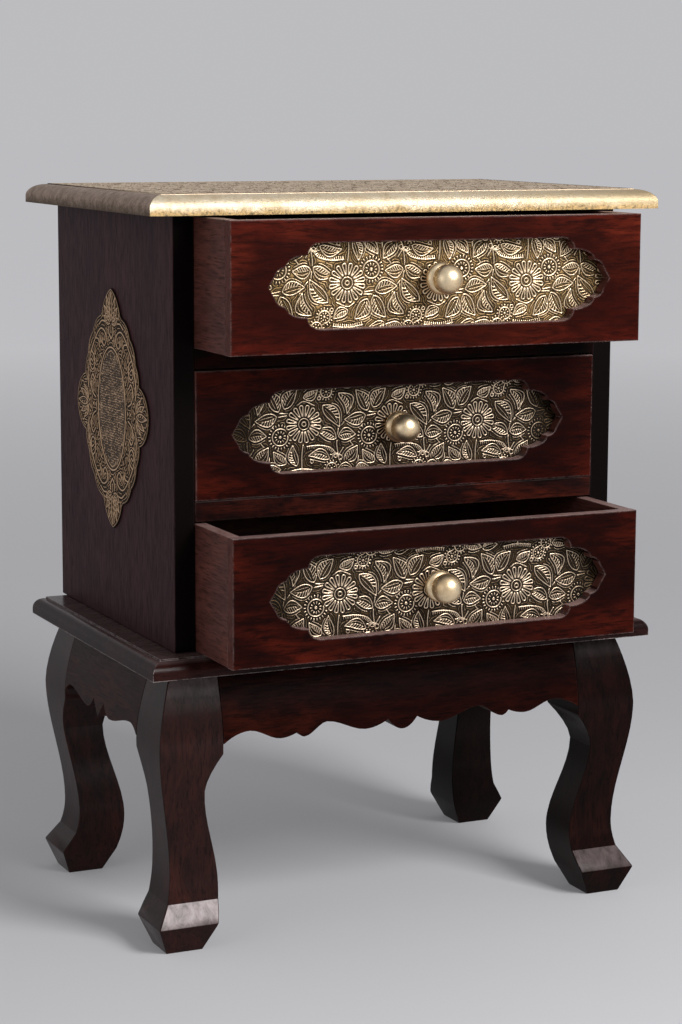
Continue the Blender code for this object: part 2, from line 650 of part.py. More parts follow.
def build_drawer_plate(slide, name, knob_z):
    """Brass plate seen through the front, and the board that backs it, both drilled for the knob."""
    middle = DRAWER_HEIGHT / 2
    inside = DRAWER_INNER - GAP
    half_long = min(OPENING_TIP + PLATE_LAP, inside - abs(OPENING_MIDDLE))
    half_high = min(OPENING_HIGH + PLATE_LAP, middle - FLOOR_TOP - GAP)
    plate = box(name + "_plate", (OPENING_MIDDLE - half_long, PLATE_FACE, middle - half_high),
                (OPENING_MIDDLE + half_long, PLATE_FACE + PLATE_THICK, middle + half_high))
    finish_part(plate, slide, OLD_BRASS)
    backing = box(name + "_backing", (-inside, BACKING_FACE, FLOOR_TOP + GAP),
                  (inside, BACKING_REAR, DRAWER_HEIGHT - BACKING_DROP))
    finish_part(backing, slide, PLAIN_WOOD)
    for piece in (plate, backing):
        drill(piece, piece.name + "_hole", SCREW_HOLE, 0.0, 2 * BACKING_REAR, knob_z)


def build_drawer_knob(slide, name, knob_z):
    """Turned knob standing on the plate, and the screw that holds it from inside the drawer."""
    for piece, profile, place_y, finish in (("_knob", knob_profile(), KNOB_FOOT, BRIGHT_BRASS),
                                            ("_knob_screw", screw_profile(), BACKING_REAR + GAP, STEEL)):
        obj = turned(name + piece, profile)
        obj.rotation_euler = (math.pi / 2, 0.0, 0.0)
        obj.location = (0.0, place_y, knob_z)
        finish_part(obj, slide, finish)


def build_drawers(root):
    """Three like drawers, each on an empty that slides along Y."""
    for level, (name, open_by, knob_lift) in enumerate(DRAWERS):
        underside = BASE_TOP + GAP + level * DRAWER_PITCH
        slide = new_empty(name + "_slide", (0.0, -open_by, underside), root)
        knob_z = DRAWER_HEIGHT / 2 + knob_lift
        build_drawer_front(slide, name)
        build_drawer_box(slide, name)
        build_drawer_plate(slide, name, knob_z)
        build_drawer_knob(slide, name, knob_z)


clear_scene()
PARTS = new_collection("nightstand")
CUTTERS = new_collection("nightstand_cutters")
ROOT = new_empty("nightstand_root", (0.0, ROOT_Y, 0.0))
build_top(ROOT)
build_carcass(ROOT)
build_stand(ROOT)
build_medallions(ROOT)
build_drawers(ROOT)
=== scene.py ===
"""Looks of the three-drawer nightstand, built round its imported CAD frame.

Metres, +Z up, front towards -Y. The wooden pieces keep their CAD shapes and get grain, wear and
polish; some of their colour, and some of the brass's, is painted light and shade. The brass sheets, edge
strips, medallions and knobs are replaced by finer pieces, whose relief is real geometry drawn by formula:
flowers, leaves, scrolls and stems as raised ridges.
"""
import math

import bmesh
import bpy
import numpy as np
from mathutils import Matrix, Vector


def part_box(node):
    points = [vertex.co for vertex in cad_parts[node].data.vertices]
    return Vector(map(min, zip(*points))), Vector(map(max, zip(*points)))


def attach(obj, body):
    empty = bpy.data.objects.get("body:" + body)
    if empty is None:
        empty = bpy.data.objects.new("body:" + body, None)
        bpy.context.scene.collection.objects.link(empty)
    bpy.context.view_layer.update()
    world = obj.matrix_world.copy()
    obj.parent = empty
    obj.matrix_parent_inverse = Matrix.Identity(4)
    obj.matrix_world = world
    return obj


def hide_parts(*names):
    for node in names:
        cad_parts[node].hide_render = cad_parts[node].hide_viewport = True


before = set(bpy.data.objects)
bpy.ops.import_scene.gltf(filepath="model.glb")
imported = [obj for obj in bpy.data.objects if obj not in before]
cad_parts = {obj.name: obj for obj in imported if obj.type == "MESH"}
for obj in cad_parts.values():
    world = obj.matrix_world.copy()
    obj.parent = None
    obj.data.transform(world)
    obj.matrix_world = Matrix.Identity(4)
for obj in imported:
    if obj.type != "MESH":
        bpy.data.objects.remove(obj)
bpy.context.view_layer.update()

MM = 0.001
DRAWERS = ("top_drawer", "middle_drawer", "bottom_drawer")
SIDES = ("front", "right", "back", "left")
ACROSS, DEEP, TALL = 0, 1, 2
LEFT, RIGHT, FRONT, UP = (-1.0, 0.0, 0.0), (1.0, 0.0, 0.0), (0.0, -1.0, 0.0), (0.0, 0.0, 1.0)

# Camera, from the corners of the object in the photograph
CAMERA_PLACE = Vector((-0.92427, -1.97727, 0.68573))
CAMERA_YAW = 0.4329
CAMERA_PITCH = 0.1588
CAMERA_ROLL = 0.004
CAMERA_LENS = 89.92
SENSOR = 36.0

# Light: a soft box above the front, a low one in front, a weak one on the left and an even grey room
KEY_AIM = Vector((0.0, 0.0, 0.35))
KEY_FROM = Vector((0.303, -0.783, 0.543))
KEY_AWAY = 2.15
KEY_SIZE = 0.8
KEY_WATTS = 36.0
LOW_FROM = Vector((0.35, -0.88, 0.32))
LOW_AWAY = 2.4
LOW_SIZE = 0.8
LOW_WATTS = 6.0
FILL_PLACE = Vector((-2.4, -0.9, 0.9))
FILL_SIZE = 1.6
FILL_WATTS = 6.0
ROOM_COLOUR = (0.97, 0.97, 1.0)
ROOM_LIGHT = 0.30
BACKDROP = 0.52           # brightness of the far floor and the room behind it
FLOOR_COLOUR = (0.56, 0.56, 0.575)
FLOOR_RADIUS = 40.0
FLOOR_FADE = (0.8, 5.0)   # distances between which the floor passes into the backdrop
FLOOR_GLOW = 0.10         # added to the near floor's brightness as the camera and reflections see it
FLOOR_SHADE = 0.97        # darkest of the floor's faint clouds, as a share of its colour
FLOOR_CLOUDS = (6.0, 4.0, 0.6)
FLOOR_ROUGHNESS = 0.85
FLOOR_CORNERS = 96

# Half widths of the lines drawn on the brass sheets
RIDGE = 0.57 * MM
STEM_LINE = 1.1 * RIDGE    # also the edges of leaves and the beads of rosettes
PETAL_LINE = 1.15 * RIDGE
RING_LINE = 1.3 * RIDGE
BUTTON_LINE = 1.2 * RIDGE
HATCH_LINE = 0.95 * RIDGE  # also rays, and the rings in a daisy's heart
BUD_LINE = 0.9 * RIDGE     # also strokes on a medallion
TOOTH_LINE = 0.85 * RIDGE
FILL_LINE = 0.8 * RIDGE
ECHO_LINE = 0.75 * RIDGE
INNER_LINE = 0.6 * RIDGE
RIB_LINE = 0.55 * RIDGE
SCROLL_LINE = 1.5 * RIDGE
FRAME_LINE = 1.7 * RIDGE

# Their heights, as shares of the relief, where they aren't full
ECHO_RISE = 0.85
INNER_RISE = 0.9
TILE_FILL_RISE = 0.64
MEDALLION_FILL_RISE = 0.95

# Relief of the brass sheets
RELIEF_REACH = 4.5 * MM  # how far round a line its distance is kept
MOAT = (0.40 * MM, 1.05 * MM)   # dark ground along each line
GROUND = 0.36            # height of the flat ground between the lines
ROUNDNESS = 0.7          # a ridge's section, from 0.5, half an oval, to 1, a parabola
TILE_PITCH = 0.25 * MM
PLATE_PITCH = 0.40 * MM
TOP_PITCH = 0.70 * MM
MEDALLION_GRID = 440
TOP_KEPT_FACES = 0.39     # keeps the largest sheet under 200 000 faces
KEPT_FACES = 0.45
PLATE_RELIEF = 0.90 * MM
TOP_RELIEF = 0.60 * MM
MEDALLION_RELIEF = 0.8 * MM
PROUD = 0.12 * MM        # ridges stand this far in front of the CAD sheet
TILE = (80.0 * MM, 72.0 * MM)
FILL_ROOM = 1.75 * MM    # a gap between lines gets a stroke where its half width is over this
FILL_END = 0.95 * MM     # a stroke ends where the gap's half width falls to this
FILL_STEP = 0.5 * MM
FILL_LONG = 5.5 * MM     # each way from a stroke's start
FILL_TURNS = np.radians(np.arange(-40, 41, 10))     # bends that a stroke may take at each step
FILL_HEADINGS = np.radians(np.arange(0, 180, 15))   # directions that it may start in
SMOOTH_TURNS = 6         # rounds of smoothing of a stroke
FAR = 1.0                # distance given to places with no line near them
SHORTEST = 1e-15         # least squared length of a line's piece


def smooth_step(value, low, high):
    share = np.clip((value - low) / (high - low), 0.0, 1.0)
    return share * share * (3 - 2 * share)


class Relief:
    """Heights over a sheet, as shares of its full relief, drawn on a grid with ridges and fields."""

    def __init__(self, low, high, pitch, shifts=((0.0, 0.0),)):
        self.pitch = pitch
        self.u = np.arange(low[0], high[0], pitch)
        self.v = np.arange(low[1], high[1], pitch)
        self.level = np.zeros((len(self.v), len(self.u)))
        self.near = np.full(self.level.shape, FAR)   # distance from the nearest line's edge
        self.shifts = shifts

    def window(self, points, reach):
        """The part of the grid within reach of some points, or None where there is none."""
        spans = []
        for axis, line in ((1, self.v), (0, self.u)):
            first = int((points[:, axis].min() - reach - line[0]) / self.pitch)
            last = int((points[:, axis].max() + reach - line[0]) / self.pitch) + 2
            if last <= 0 or first >= len(line):
                return None
            spans.append(slice(max(0, first), min(len(line), last)))
        return tuple(spans)

    def places(self, points, reach):
        """Each copy of the points that falls on the grid, with its window and the grid's places there."""
        points = np.asarray(points, float)
        for shift in self.shifts:
            moved = points + np.asarray(shift)
            spans = self.window(moved, reach)
            if spans is not None:
                u, v = np.meshgrid(self.u[spans[1]], self.v[spans[0]])
                yield moved, spans, u, v

    @staticmethod
    def distance(points, u, v):
        """Distance of places from a line through points."""
        best = np.full(u.shape, FAR)
        for (au, av), (bu, bv) in zip(points, points[1:]):
            du, dv = bu - au, bv - av
            length = max(du * du + dv * dv, SHORTEST)
            share = np.clip(((u - au) * du + (v - av) * dv) / length, 0.0, 1.0)
            best = np.minimum(best, np.hypot(u - au - share * du, v - av - share * dv))
        return best

    @staticmethod
    def inside(outline, u, v):
        """True for places inside a closed outline."""
        within = np.zeros(u.shape, bool)
        for (au, av), (bu, bv) in zip(outline, np.roll(outline, -1, axis=0)):
            if av != bv:
                within ^= ((av > v) != (bv > v)) & (u < (bu - au) * (v - av) / (bv - av) + au)
        return within

    def ridge(self, points, half, rise=1.0):
        """A raised round line along points."""
        for moved, spans, u, v in self.places(points, RELIEF_REACH):
            away = self.distance(moved, u, v)
            height = rise * np.clip(1 - (away / half) ** 2, 0.0, 1.0) ** ROUNDNESS
            self.level[spans] = np.maximum(self.level[spans], height)
            self.near[spans] = np.minimum(self.near[spans], away - half)

    def clear(self, outline, margin=0.5 * MM):
        """Takes away what was drawn inside an outline and close round it."""
        for moved, spans, u, v in self.places(outline, RELIEF_REACH):
            away = self.distance(np.vstack([moved, moved[:1]]), u, v)
            gone = self.inside(moved, u, v) | (away < margin)
            self.level[spans][gone] = 0.0
            self.near[spans][gone] = FAR

    def gap(self, place):
        """Distance from a place to the nearest line's edge; the grid repeats beyond its own edges."""
        column = int(round((place[0] - self.u[0]) / self.pitch)) % len(self.u)
        row = int(round((place[1] - self.v[0]) / self.pitch)) % len(self.v)
        return self.near[row, column]

    def walk(self, place, heading, long):
        """Steps along the middle of a gap from a place, until it narrows or the way is long enough."""
        steps = []
        while len(steps) * FILL_STEP < long:
            turns = heading + FILL_TURNS
            ways = [place + FILL_STEP * np.array([math.cos(turn), math.sin(turn)]) for turn in turns]
            rooms = [self.gap(way) for way in ways]
            best = int(np.argmax(rooms))
            if rooms[best] < FILL_END:
                break
            heading, place = turns[best], ways[best]
            steps.append(place)
        return steps

    def fill(self, half, rise, inside=1.0, hands=((1, 1),)):
        """Draws a stroke along each gap that is wide enough, widest first, with its mirrored copies."""
        while True:
            rooms = self.near * inside
            row, column = np.unravel_index(rooms.argmax(), rooms.shape)
            if rooms[row, column] < FILL_ROOM:
                return
            start = np.array([self.u[column], self.v[row]])
            reach = 3 * FILL_STEP * np.stack([np.cos(FILL_HEADINGS), np.sin(FILL_HEADINGS)], axis=1)
            ahead = [min(self.gap(start + way), self.gap(start - way)) for way in reach]
            heading = FILL_HEADINGS[int(np.argmax(ahead))]
            back = self.walk(start, heading + math.pi, FILL_LONG)
            line = np.array(back[::-1] + [start] + self.walk(start, heading, FILL_LONG))
            if len(line) < 2:
                line = np.vstack([line, line])
            for _ in range(SMOOTH_TURNS):
                line[1:-1] = (line[:-2] + 2 * line[1:-1] + line[2:]) / 4
            for hand in hands:
                self.ridge(line * hand, half, rise)

    def flatten(self, ground):
        """Raises the ground between the lines, apart from a moat along each of them."""
        self.level = np.maximum(self.level, ground * smooth_step(self.near, *MOAT))

    def sample(self, u, v):
        """Heights at any places, by straight interpolation; the grid repeats beyond its own edges."""
        x = (u - self.u[0]) / self.pitch
        y = (v - self.v[0]) / self.pitch
        column, row = np.floor(x).astype(int), np.floor(y).astype(int)
        x, y = x - column, y - row
        rows, columns = self.level.shape
        left, right = column % columns, (column + 1) % columns
        low, high = row % rows, (row + 1) % rows
        lower = self.level[low, left] * (1 - x) + self.level[low, right] * x
        upper = self.level[high, left] * (1 - x) + self.level[high, right] * x
        return lower * (1 - y) + upper * y


def ring(middle, radius, steps=24):
    """Points round a circle, the first one also last."""
    angles = np.radians(np.linspace(0, 360, steps + 1))
    return np.stack([middle[0] + radius * np.cos(angles), middle[1] + radius * np.sin(angles)], axis=1)


CURVE_STEPS = 6


def curve(points):
    """A smooth line through a few points."""
    points = np.asarray(points, float)
    ends = np.vstack([2 * points[0] - points[1], points, 2 * points[-1] - points[-2]])
    line = [points[0]]
    for before, start, end, after in zip(ends, ends[1:], ends[2:], ends[3:]):
        for step in range(1, CURVE_STEPS + 1):
            t = step / CURVE_STEPS
            square = (2 * before - 5 * start + 4 * end - after) * t ** 2
            cube = (3 * start - before - 3 * end + after) * t ** 3
            line.append(0.5 * (2 * start + (end - before) * t + square + cube))
    return np.array(line)


# Leaves: gaps round them, and shares of their length or half width
LEAF_STEPS = 12
RIB_STEPS = 7
LEAF_MOAT = 1.3 * MM
LEAF_ECHO = 2.3 * MM         # a second line outside one edge
LEAF_FULLNESS = 0.8          # below 1 puts the widest place nearer the foot
LEAF_INNER = 0.42
LEAF_RIB = (0.10, 0.86)
LEAF_RIB_BOW = 0.10
VEIN_FEET = (0.16, 0.60)     # place of the first foot, and the length they share
VEIN_LEAN = 0.10
VEIN_REACH = (0.1, 0.78)


def draw_leaf(relief, base, tip, half_width, hatched, bend, veins):
    """A leaf with a raised edge and midrib, one half hatched and an inner line in the other."""
    base, tip = np.asarray(base, float), np.asarray(tip, float)
    along = tip - base
    long = np.hypot(*along)
    across = np.array([-along[1], along[0]]) / long

    def at(share, off):
        lean = bend * long * np.sin(math.pi * share)
        return base + np.outer(share, along) + np.outer(off + lean, across)

    share = np.linspace(0.0, 1.0, LEAF_STEPS + 1)
    width = half_width * np.sin(math.pi * share ** LEAF_FULLNESS)
    left, right = at(share, width), at(share, -width)
    relief.clear(np.vstack([left, right[-2:0:-1]]), LEAF_MOAT)
    relief.ridge(at(share[2:-1], hatched * (width[2:-1] + LEAF_ECHO)), ECHO_LINE, ECHO_RISE)
    relief.ridge(left, STEM_LINE)
    relief.ridge(right, STEM_LINE)
    relief.ridge(at(share[2:-2], -hatched * LEAF_INNER * width[2:-2]), INNER_LINE, INNER_RISE)
    rib = np.linspace(*LEAF_RIB, RIB_STEPS + 1)
    bow = LEAF_RIB_BOW * hatched * half_width * np.sin(math.pi * rib)
    relief.ridge(at(rib, bow), RIB_LINE, INNER_RISE)
    for index in range(veins):
        foot = VEIN_FEET[0] + VEIN_FEET[1] * index / veins
        tip_share = foot + VEIN_LEAN
        wide = VEIN_REACH[1] * half_width * math.sin(math.pi * tip_share ** LEAF_FULLNESS)
        reach = np.array([VEIN_REACH[0] * half_width, wide])
        relief.ridge(at(np.array([foot, tip_share]), hatched * reach), HATCH_LINE)


# Daisies: the gap round them, a petal's share of its sector, and shares of the heart's radius
DAISY_MOAT = 0.8 * MM
PETAL_SHARE = 0.55
PETAL_FOOT = 1.22
PETAL_ROUND = np.radians((-55, -20, 20, 55))
HEART_RINGS = ((0.86, 24), (0.34, 12))   # radius, and steps round it


def draw_daisy(relief, middle, radius, petals, heart):
    """A flower of loop-shaped petals, apart from each other, round a ringed heart."""
    relief.clear(ring(middle, radius + DAISY_MOAT))
    half = math.pi / petals * PETAL_SHARE
    foot = PETAL_FOOT * heart
    end = radius * (1 - math.sin(half))
    round_end = radius * math.sin(half)

    def at(away, angle):
        return away * math.cos(angle), away * math.sin(angle)

    for index in range(petals):
        angle = 2 * math.pi * (index + 0.5) / petals
        loop = [at(foot, angle - 0.5 * half), at(end, angle - half)]
        for turn in PETAL_ROUND:
            loop.append((end * math.cos(angle) + round_end * math.cos(angle + turn),
                         end * math.sin(angle) + round_end * math.sin(angle + turn)))
        loop += [at(end, angle + half), at(foot, angle + 0.5 * half)]
        relief.ridge(np.array(loop) + middle, PETAL_LINE)
    for share, steps in HEART_RINGS:
        relief.ridge(ring(middle, share * heart, steps), HATCH_LINE)


# Rosettes: shares of the radius
BEAD_SPAN = (0.84, 0.98)
RAY_SPAN = (0.32, 0.46)
ROSETTE_RING = 0.66
ROSETTE_BUTTON = 0.08
BUTTON_STEPS = 8


def draw_rosette(relief, middle, radius, beads):
    """A round flower: a dotted ring, a plain ring, short rays and a button."""
    relief.clear(ring(middle, radius))
    for index in range(beads):
        angle = 2 * math.pi * index / beads
        toward = np.array([math.cos(angle), math.sin(angle)])
        relief.ridge([middle + share * radius * toward for share in BEAD_SPAN], STEM_LINE)
        if index % 2:
            relief.ridge([middle + share * radius * toward for share in RAY_SPAN], HATCH_LINE)
    relief.ridge(ring(middle, ROSETTE_RING * radius), RING_LINE)
    relief.ridge(ring(middle, ROSETTE_BUTTON * radius, BUTTON_STEPS), BUTTON_LINE)


# Ferns: place of the first tooth along the stem, and the distance between teeth
TOOTH_START = 0.8 * MM
TOOTH_PITCH = 1.9 * MM


def draw_fern(relief, points, tooth, hand):
    """A curved stem with a comb of short teeth on one side."""
    line = curve(points)
    relief.ridge(line, STEM_LINE)
    steps = np.diff(line, axis=0)
    run = np.concatenate([[0.0], np.cumsum(np.hypot(steps[:, 0], steps[:, 1]))])
    for reach in np.arange(TOOTH_START, run[-1], TOOTH_PITCH):
        index = max(0, min(np.searchsorted(run, reach), len(steps)) - 1)
        along = steps[index] / np.hypot(*steps[index])
        foot = line[index] + along * (reach - run[index])
        relief.ridge([foot, foot + hand * tooth * np.array([-along[1], along[0]])], TOOTH_LINE)


# Floral tile, in millimetres from the middle of its daisy
TILE_VEINS = 5
BUD_STEPS = 12
TILE_DAISY = (15.6, 16, 5.4)   # radius, petals and the heart's radius
# Middle, radius and beads
TILE_ROSETTES = (((-20.8, -10.4), 10.6, 22), ((19.2, 26.4), 7.4, 16), ((26.0, -37.0), 7.0, 14))
# Foot, tip, half width, hatched side and bend
TILE_LEAVES = (
    ((-24.5, 6.4), (-43.5, 3.0), 5.2, 1, 0.08),
    ((-23.0, 10.2), (-34.0, 27.6), 5.4, -1, -0.08),
    ((-18.0, 12.8), (-7.0, 28.6), 5.6, 1, 0.10),
    ((16.4, 15.0), (32.2, -3.0), 5.6, 1, 0.10),
    ((29.4, -12.4), (12.2, -5.4), 4.6, 1, -0.10),
    ((31.4, -10.6), (47.0, -9.4), 5.0, -1, 0.10),
    ((37.4, -31.6), (48.8, -18.8), 5.0, 1, -0.08),
    ((-15.0, -32.6), (-26.4, -22.4), 4.2, -1, 0.10),
    ((-5.4, -34.4), (-9.6, -17.4), 4.2, 1, 0.10),
    ((24.0, -29.0), (4.8, -26.4), 4.2, 1, -0.16),
    ((30.6, 25.0), (38.6, 7.6), 4.8, -1, 0.30),
    ((-1.0, 21.4), (11.4, 28.0), 4.0, 1, -0.12),
    ((-33.0, 32.0), (-19.5, 35.0), 4.2, 1, 0.10),
    ((32.0, 34.6), (46.0, 33.0), 4.2, -1, 0.10),
)
TILE_BUDS = (((24.8, -27.4), 1.9), ((29.4, -26.4), 1.9), ((33.6, -28.0), 1.9), ((-11.6, 19.6), 1.5),
             ((-37.0, -7.0), 1.5), ((8.0, -31.0), 1.5), ((13.0, 21.0), 1.5))
TILE_STEMS = (
    ((0.0, -15.0), (-1.0, -26.0), (-0.6, -38.0)),
    ((-12.0, 8.0), (-20.0, 6.5), (-24.0, 6.0)),
    ((-14.0, 9.0), (-20.5, 9.0), (-25.5, 10.0)),
    ((-8.6, 13.6), (-1.0, 18.6), (9.0, 15.2)),
    ((32.0, -28.0), (30.0, -16.0), (31.2, -3.0), (29.8, -1.6)),
    ((36.0, -36.0), (32.0, -28.0), (36.0, -20.0)),
    ((41.0, 9.0), (36.0, 1.0), (31.0, -4.0)),
    ((-30.0, -32.0), (-31.0, -24.0), (-38.0, -15.0)),
)
# Stem, length of the teeth and their side
TILE_FERNS = (
    (((3.0, -18.4), (14.0, -17.8), (25.0, -20.2), (30.6, -26.6)), 2.6, -1),
    (((-14.0, 33.0), (-2.0, 35.0), (12.0, 34.0)), 2.4, -1),
)


def floral_tile(pitch):
    """One repeat of the embossed flower pattern."""
    half = np.array(TILE) / 2
    shifts = [(across * TILE[0], up * TILE[1]) for across in (-1, 0, 1) for up in (-1, 0, 1)]
    relief = Relief(-half, half - pitch / 2, pitch, shifts)
    for points in TILE_STEMS:
        relief.ridge(curve(np.array(points) * MM), STEM_LINE)
    for points, tooth, hand in TILE_FERNS:
        draw_fern(relief, np.array(points) * MM, tooth * MM, hand)
    for middle, radius, beads in TILE_ROSETTES:
        draw_rosette(relief, np.array(middle) * MM, radius * MM, beads)
    for middle, radius in TILE_BUDS:
        relief.ridge(ring(np.array(middle) * MM, radius * MM, BUD_STEPS), BUD_LINE)
    for base, tip, half_width, hatched, bend in TILE_LEAVES:
        base, tip = np.array(base) * MM, np.array(tip) * MM
        draw_leaf(relief, base, tip, half_width * MM, hatched, bend, TILE_VEINS)
    radius, petals, heart = TILE_DAISY
    draw_daisy(relief, np.zeros(2), radius * MM, petals, heart * MM)
    relief.fill(FILL_LINE, TILE_FILL_RISE)
    relief.flatten(GROUND)
    return relief


def link_piece(name, mesh, body, slot, material, *nodes):
    """Adds a piece that rides on a body and stands for CAD nodes."""
    piece = bpy.data.objects.new(name, mesh)
    bpy.context.scene.collection.objects.link(piece)
    mesh.materials.append(material)
    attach(piece, body)
    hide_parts(*nodes)
    return piece


def sheet_mesh(name, points, tone, out, thickness):
    """A closed sheet: a grid of points in front, a flat back a thickness behind the highest of them."""
    rows, columns = tone.shape
    out = np.asarray(out, float)
    front = points.reshape(-1, 3)
    index = np.arange(rows * columns).reshape(rows, columns)
    corners = (index[:-1, :-1], index[:-1, 1:], index[1:, 1:], index[1:, :-1])
    quads = np.stack(corners, axis=-1).reshape(-1, 4)
    rim = np.concatenate([index[0, :-1], index[:-1, -1], index[-1, :0:-1], index[:0:-1, 0]])
    back_at = (front @ out).max() - thickness
    back = front[rim] + np.outer(back_at - front[rim] @ out, out)
    behind = rows * columns + np.arange(len(rim))
    sides = np.stack([np.roll(rim, -1), rim, behind, np.roll(behind, -1)], axis=-1)
    faces = quads.tolist() + sides.tolist() + [behind[::-1].tolist()]
    mesh = bpy.data.meshes.new(name)
    mesh.from_pydata(np.vstack([front, back]).tolist(), [], faces)
    values = np.concatenate([tone.reshape(-1), np.zeros(len(rim))])
    mesh.attributes.new("relief", "FLOAT", "POINT").data.foreach_set("value", values.astype(np.float32))
    mesh.polygons.foreach_set("use_smooth", [True] * len(quads) + [False] * (len(sides) + 1))
    mesh.update()
    return mesh


def fewer_faces(piece, ratio):
    thin = piece.modifiers.new("fewer_faces", "DECIMATE")
    thin.ratio = ratio


class Nodes:
    """A material's nodes, with short ways to add and link them."""

    def __init__(self, name):
        self.material = bpy.data.materials.new(name)
        self.material.use_nodes = True
        self.tree = self.material.node_tree
        self.shader = self.tree.nodes["Principled BSDF"]

    def add(self, kind, inputs=(), **settings):
        node = self.tree.nodes.new("ShaderNode" + kind)
        for key, value in settings.items():
            setattr(node, key, value)
        for key, value in dict(inputs).items():
            self.put(node.inputs[key], value)
        return node

    def put(self, socket, value):
        if isinstance(value, bpy.types.NodeSocket):
            self.tree.links.new(value, socket)
        elif socket.type == "RGBA":
            socket.default_value = (*value, 1.0)
        else:
            socket.default_value = value

    def set(self, **inputs):
        for name, value in inputs.items():
            self.put(self.shader.inputs[name.replace("_", " ")], value)

    def place(self, scale=(1.0, 1.0, 1.0)):
        where = self.add("TexCoord").outputs["Object"]
        return self.add("Mapping", {"Vector": where, "Scale": scale}).outputs["Vector"]

    def axis(self, name):
        return self.add("SeparateXYZ", {0: self.place()}).outputs[name]

    def noise(self, where, scale, detail, roughness, distortion=0.0):
        inputs = {"Vector": where, "Scale": scale, "Detail": detail, "Roughness": roughness,
                  "Distortion": distortion}
        return self.add("TexNoise", inputs).outputs["Fac"]

    def range(self, value, low, high, to_low=0.0, to_high=1.0):
        inputs = {"Value": value, "From Min": low, "From Max": high, "To Min": to_low, "To Max": to_high}
        return self.add("MapRange", inputs).outputs["Result"]

    def vector(self, operation, first, second=None):
        """A vector sum or product, or a length or dot product as one number."""
        node = self.add("VectorMath", {0: first}, operation=operation)
        if second is not None:
            self.put(node.inputs[1], second)
        number = operation in ("LENGTH", "DOT_PRODUCT")
        return node.outputs["Value" if number else "Vector"]

    def math(self, operation, first, second):
        node = self.add("Math", operation=operation)
        self.put(node.inputs[0], first)
        self.put(node.inputs[1], second)
        return node.outputs["Value"]

    def mix(self, share, first, second):
        """Two colours mixed; the mix node has its colours at sockets 6 and 7 and gives them at 2."""
        node = self.add("Mix", data_type="RGBA")
        self.put(node.inputs[0], share)
        self.put(node.inputs[6], first)
        self.put(node.inputs[7], second)
        return node.outputs[2]

    def bump(self, height, depth, strength):
        return self.add("Bump", {"Height": height, "Distance": depth, "Strength": strength}).outputs["Normal"]

    def edges(self, radius, gain):
        """1 along sharp edges, 0 on flat faces."""
        soft = self.add("Bevel", {"Radius": radius}, samples=EDGE_SAMPLES).outputs["Normal"]
        true = self.add("NewGeometry").outputs["Normal"]
        return self.range(self.vector("DOT_PRODUCT", soft, true), 1.0, 1.0 - 1.0 / gain)


def shaded(colour, share):
    return tuple(share * value for value in colour)


NOISE_SPAN = (0.3, 0.7)      # most of a noise's values lie between these
EDGE_SAMPLES = 6

# Wood grain: its scale along the grain, then the noise's scale, detail, roughness and distortion
GRAIN_FINE = (0.08, (700.0, 6.0, 0.62, 0.4))
GRAIN_BANDS = (0.22, (120.0, 7.0, 0.70, 0.6))
GRAIN_PATCHES = (0.5, (15.0, 4.0, 0.6, 0.6))
CHIPS = (150.0, 6.0, 0.75)
# Levels of the noise between which each of these comes in
LIGHT_BANDS = (0.40, 0.62)
GLOW_PATCHES = (0.46, 0.64)
GLOW_BANDS = (0.36, 0.58)
PORE_LEVELS = (0.52, 0.64)
FACING_BANDS = (0.32, 0.62)
CHIP_LEVELS = (0.38, 0.54)
GLOSS_LEVELS = (0.3, 0.75)
# Shares and sizes
PORE_SHARE = 0.75
PORE_SHADE = 0.3
HALO_SPAN = (1.0, 1.45)      # from full to none, in half sizes of the opening's oval
HALO_SHARE = 0.7
HALO_SHADE = 0.5
HALO_UNEVEN = 0.15
# Edges painted pale: partly real wear, partly a painted highlight along the arrises
EDGE_WEAR_AND_SHEEN = (1.3 * MM, 4.0)  # radius, and how soon a bend counts as an edge
GRAIN_GLOSS = (-0.07, 0.12)  # added to the roughness
GRAIN_BUMP = (0.18 * MM, 0.5)


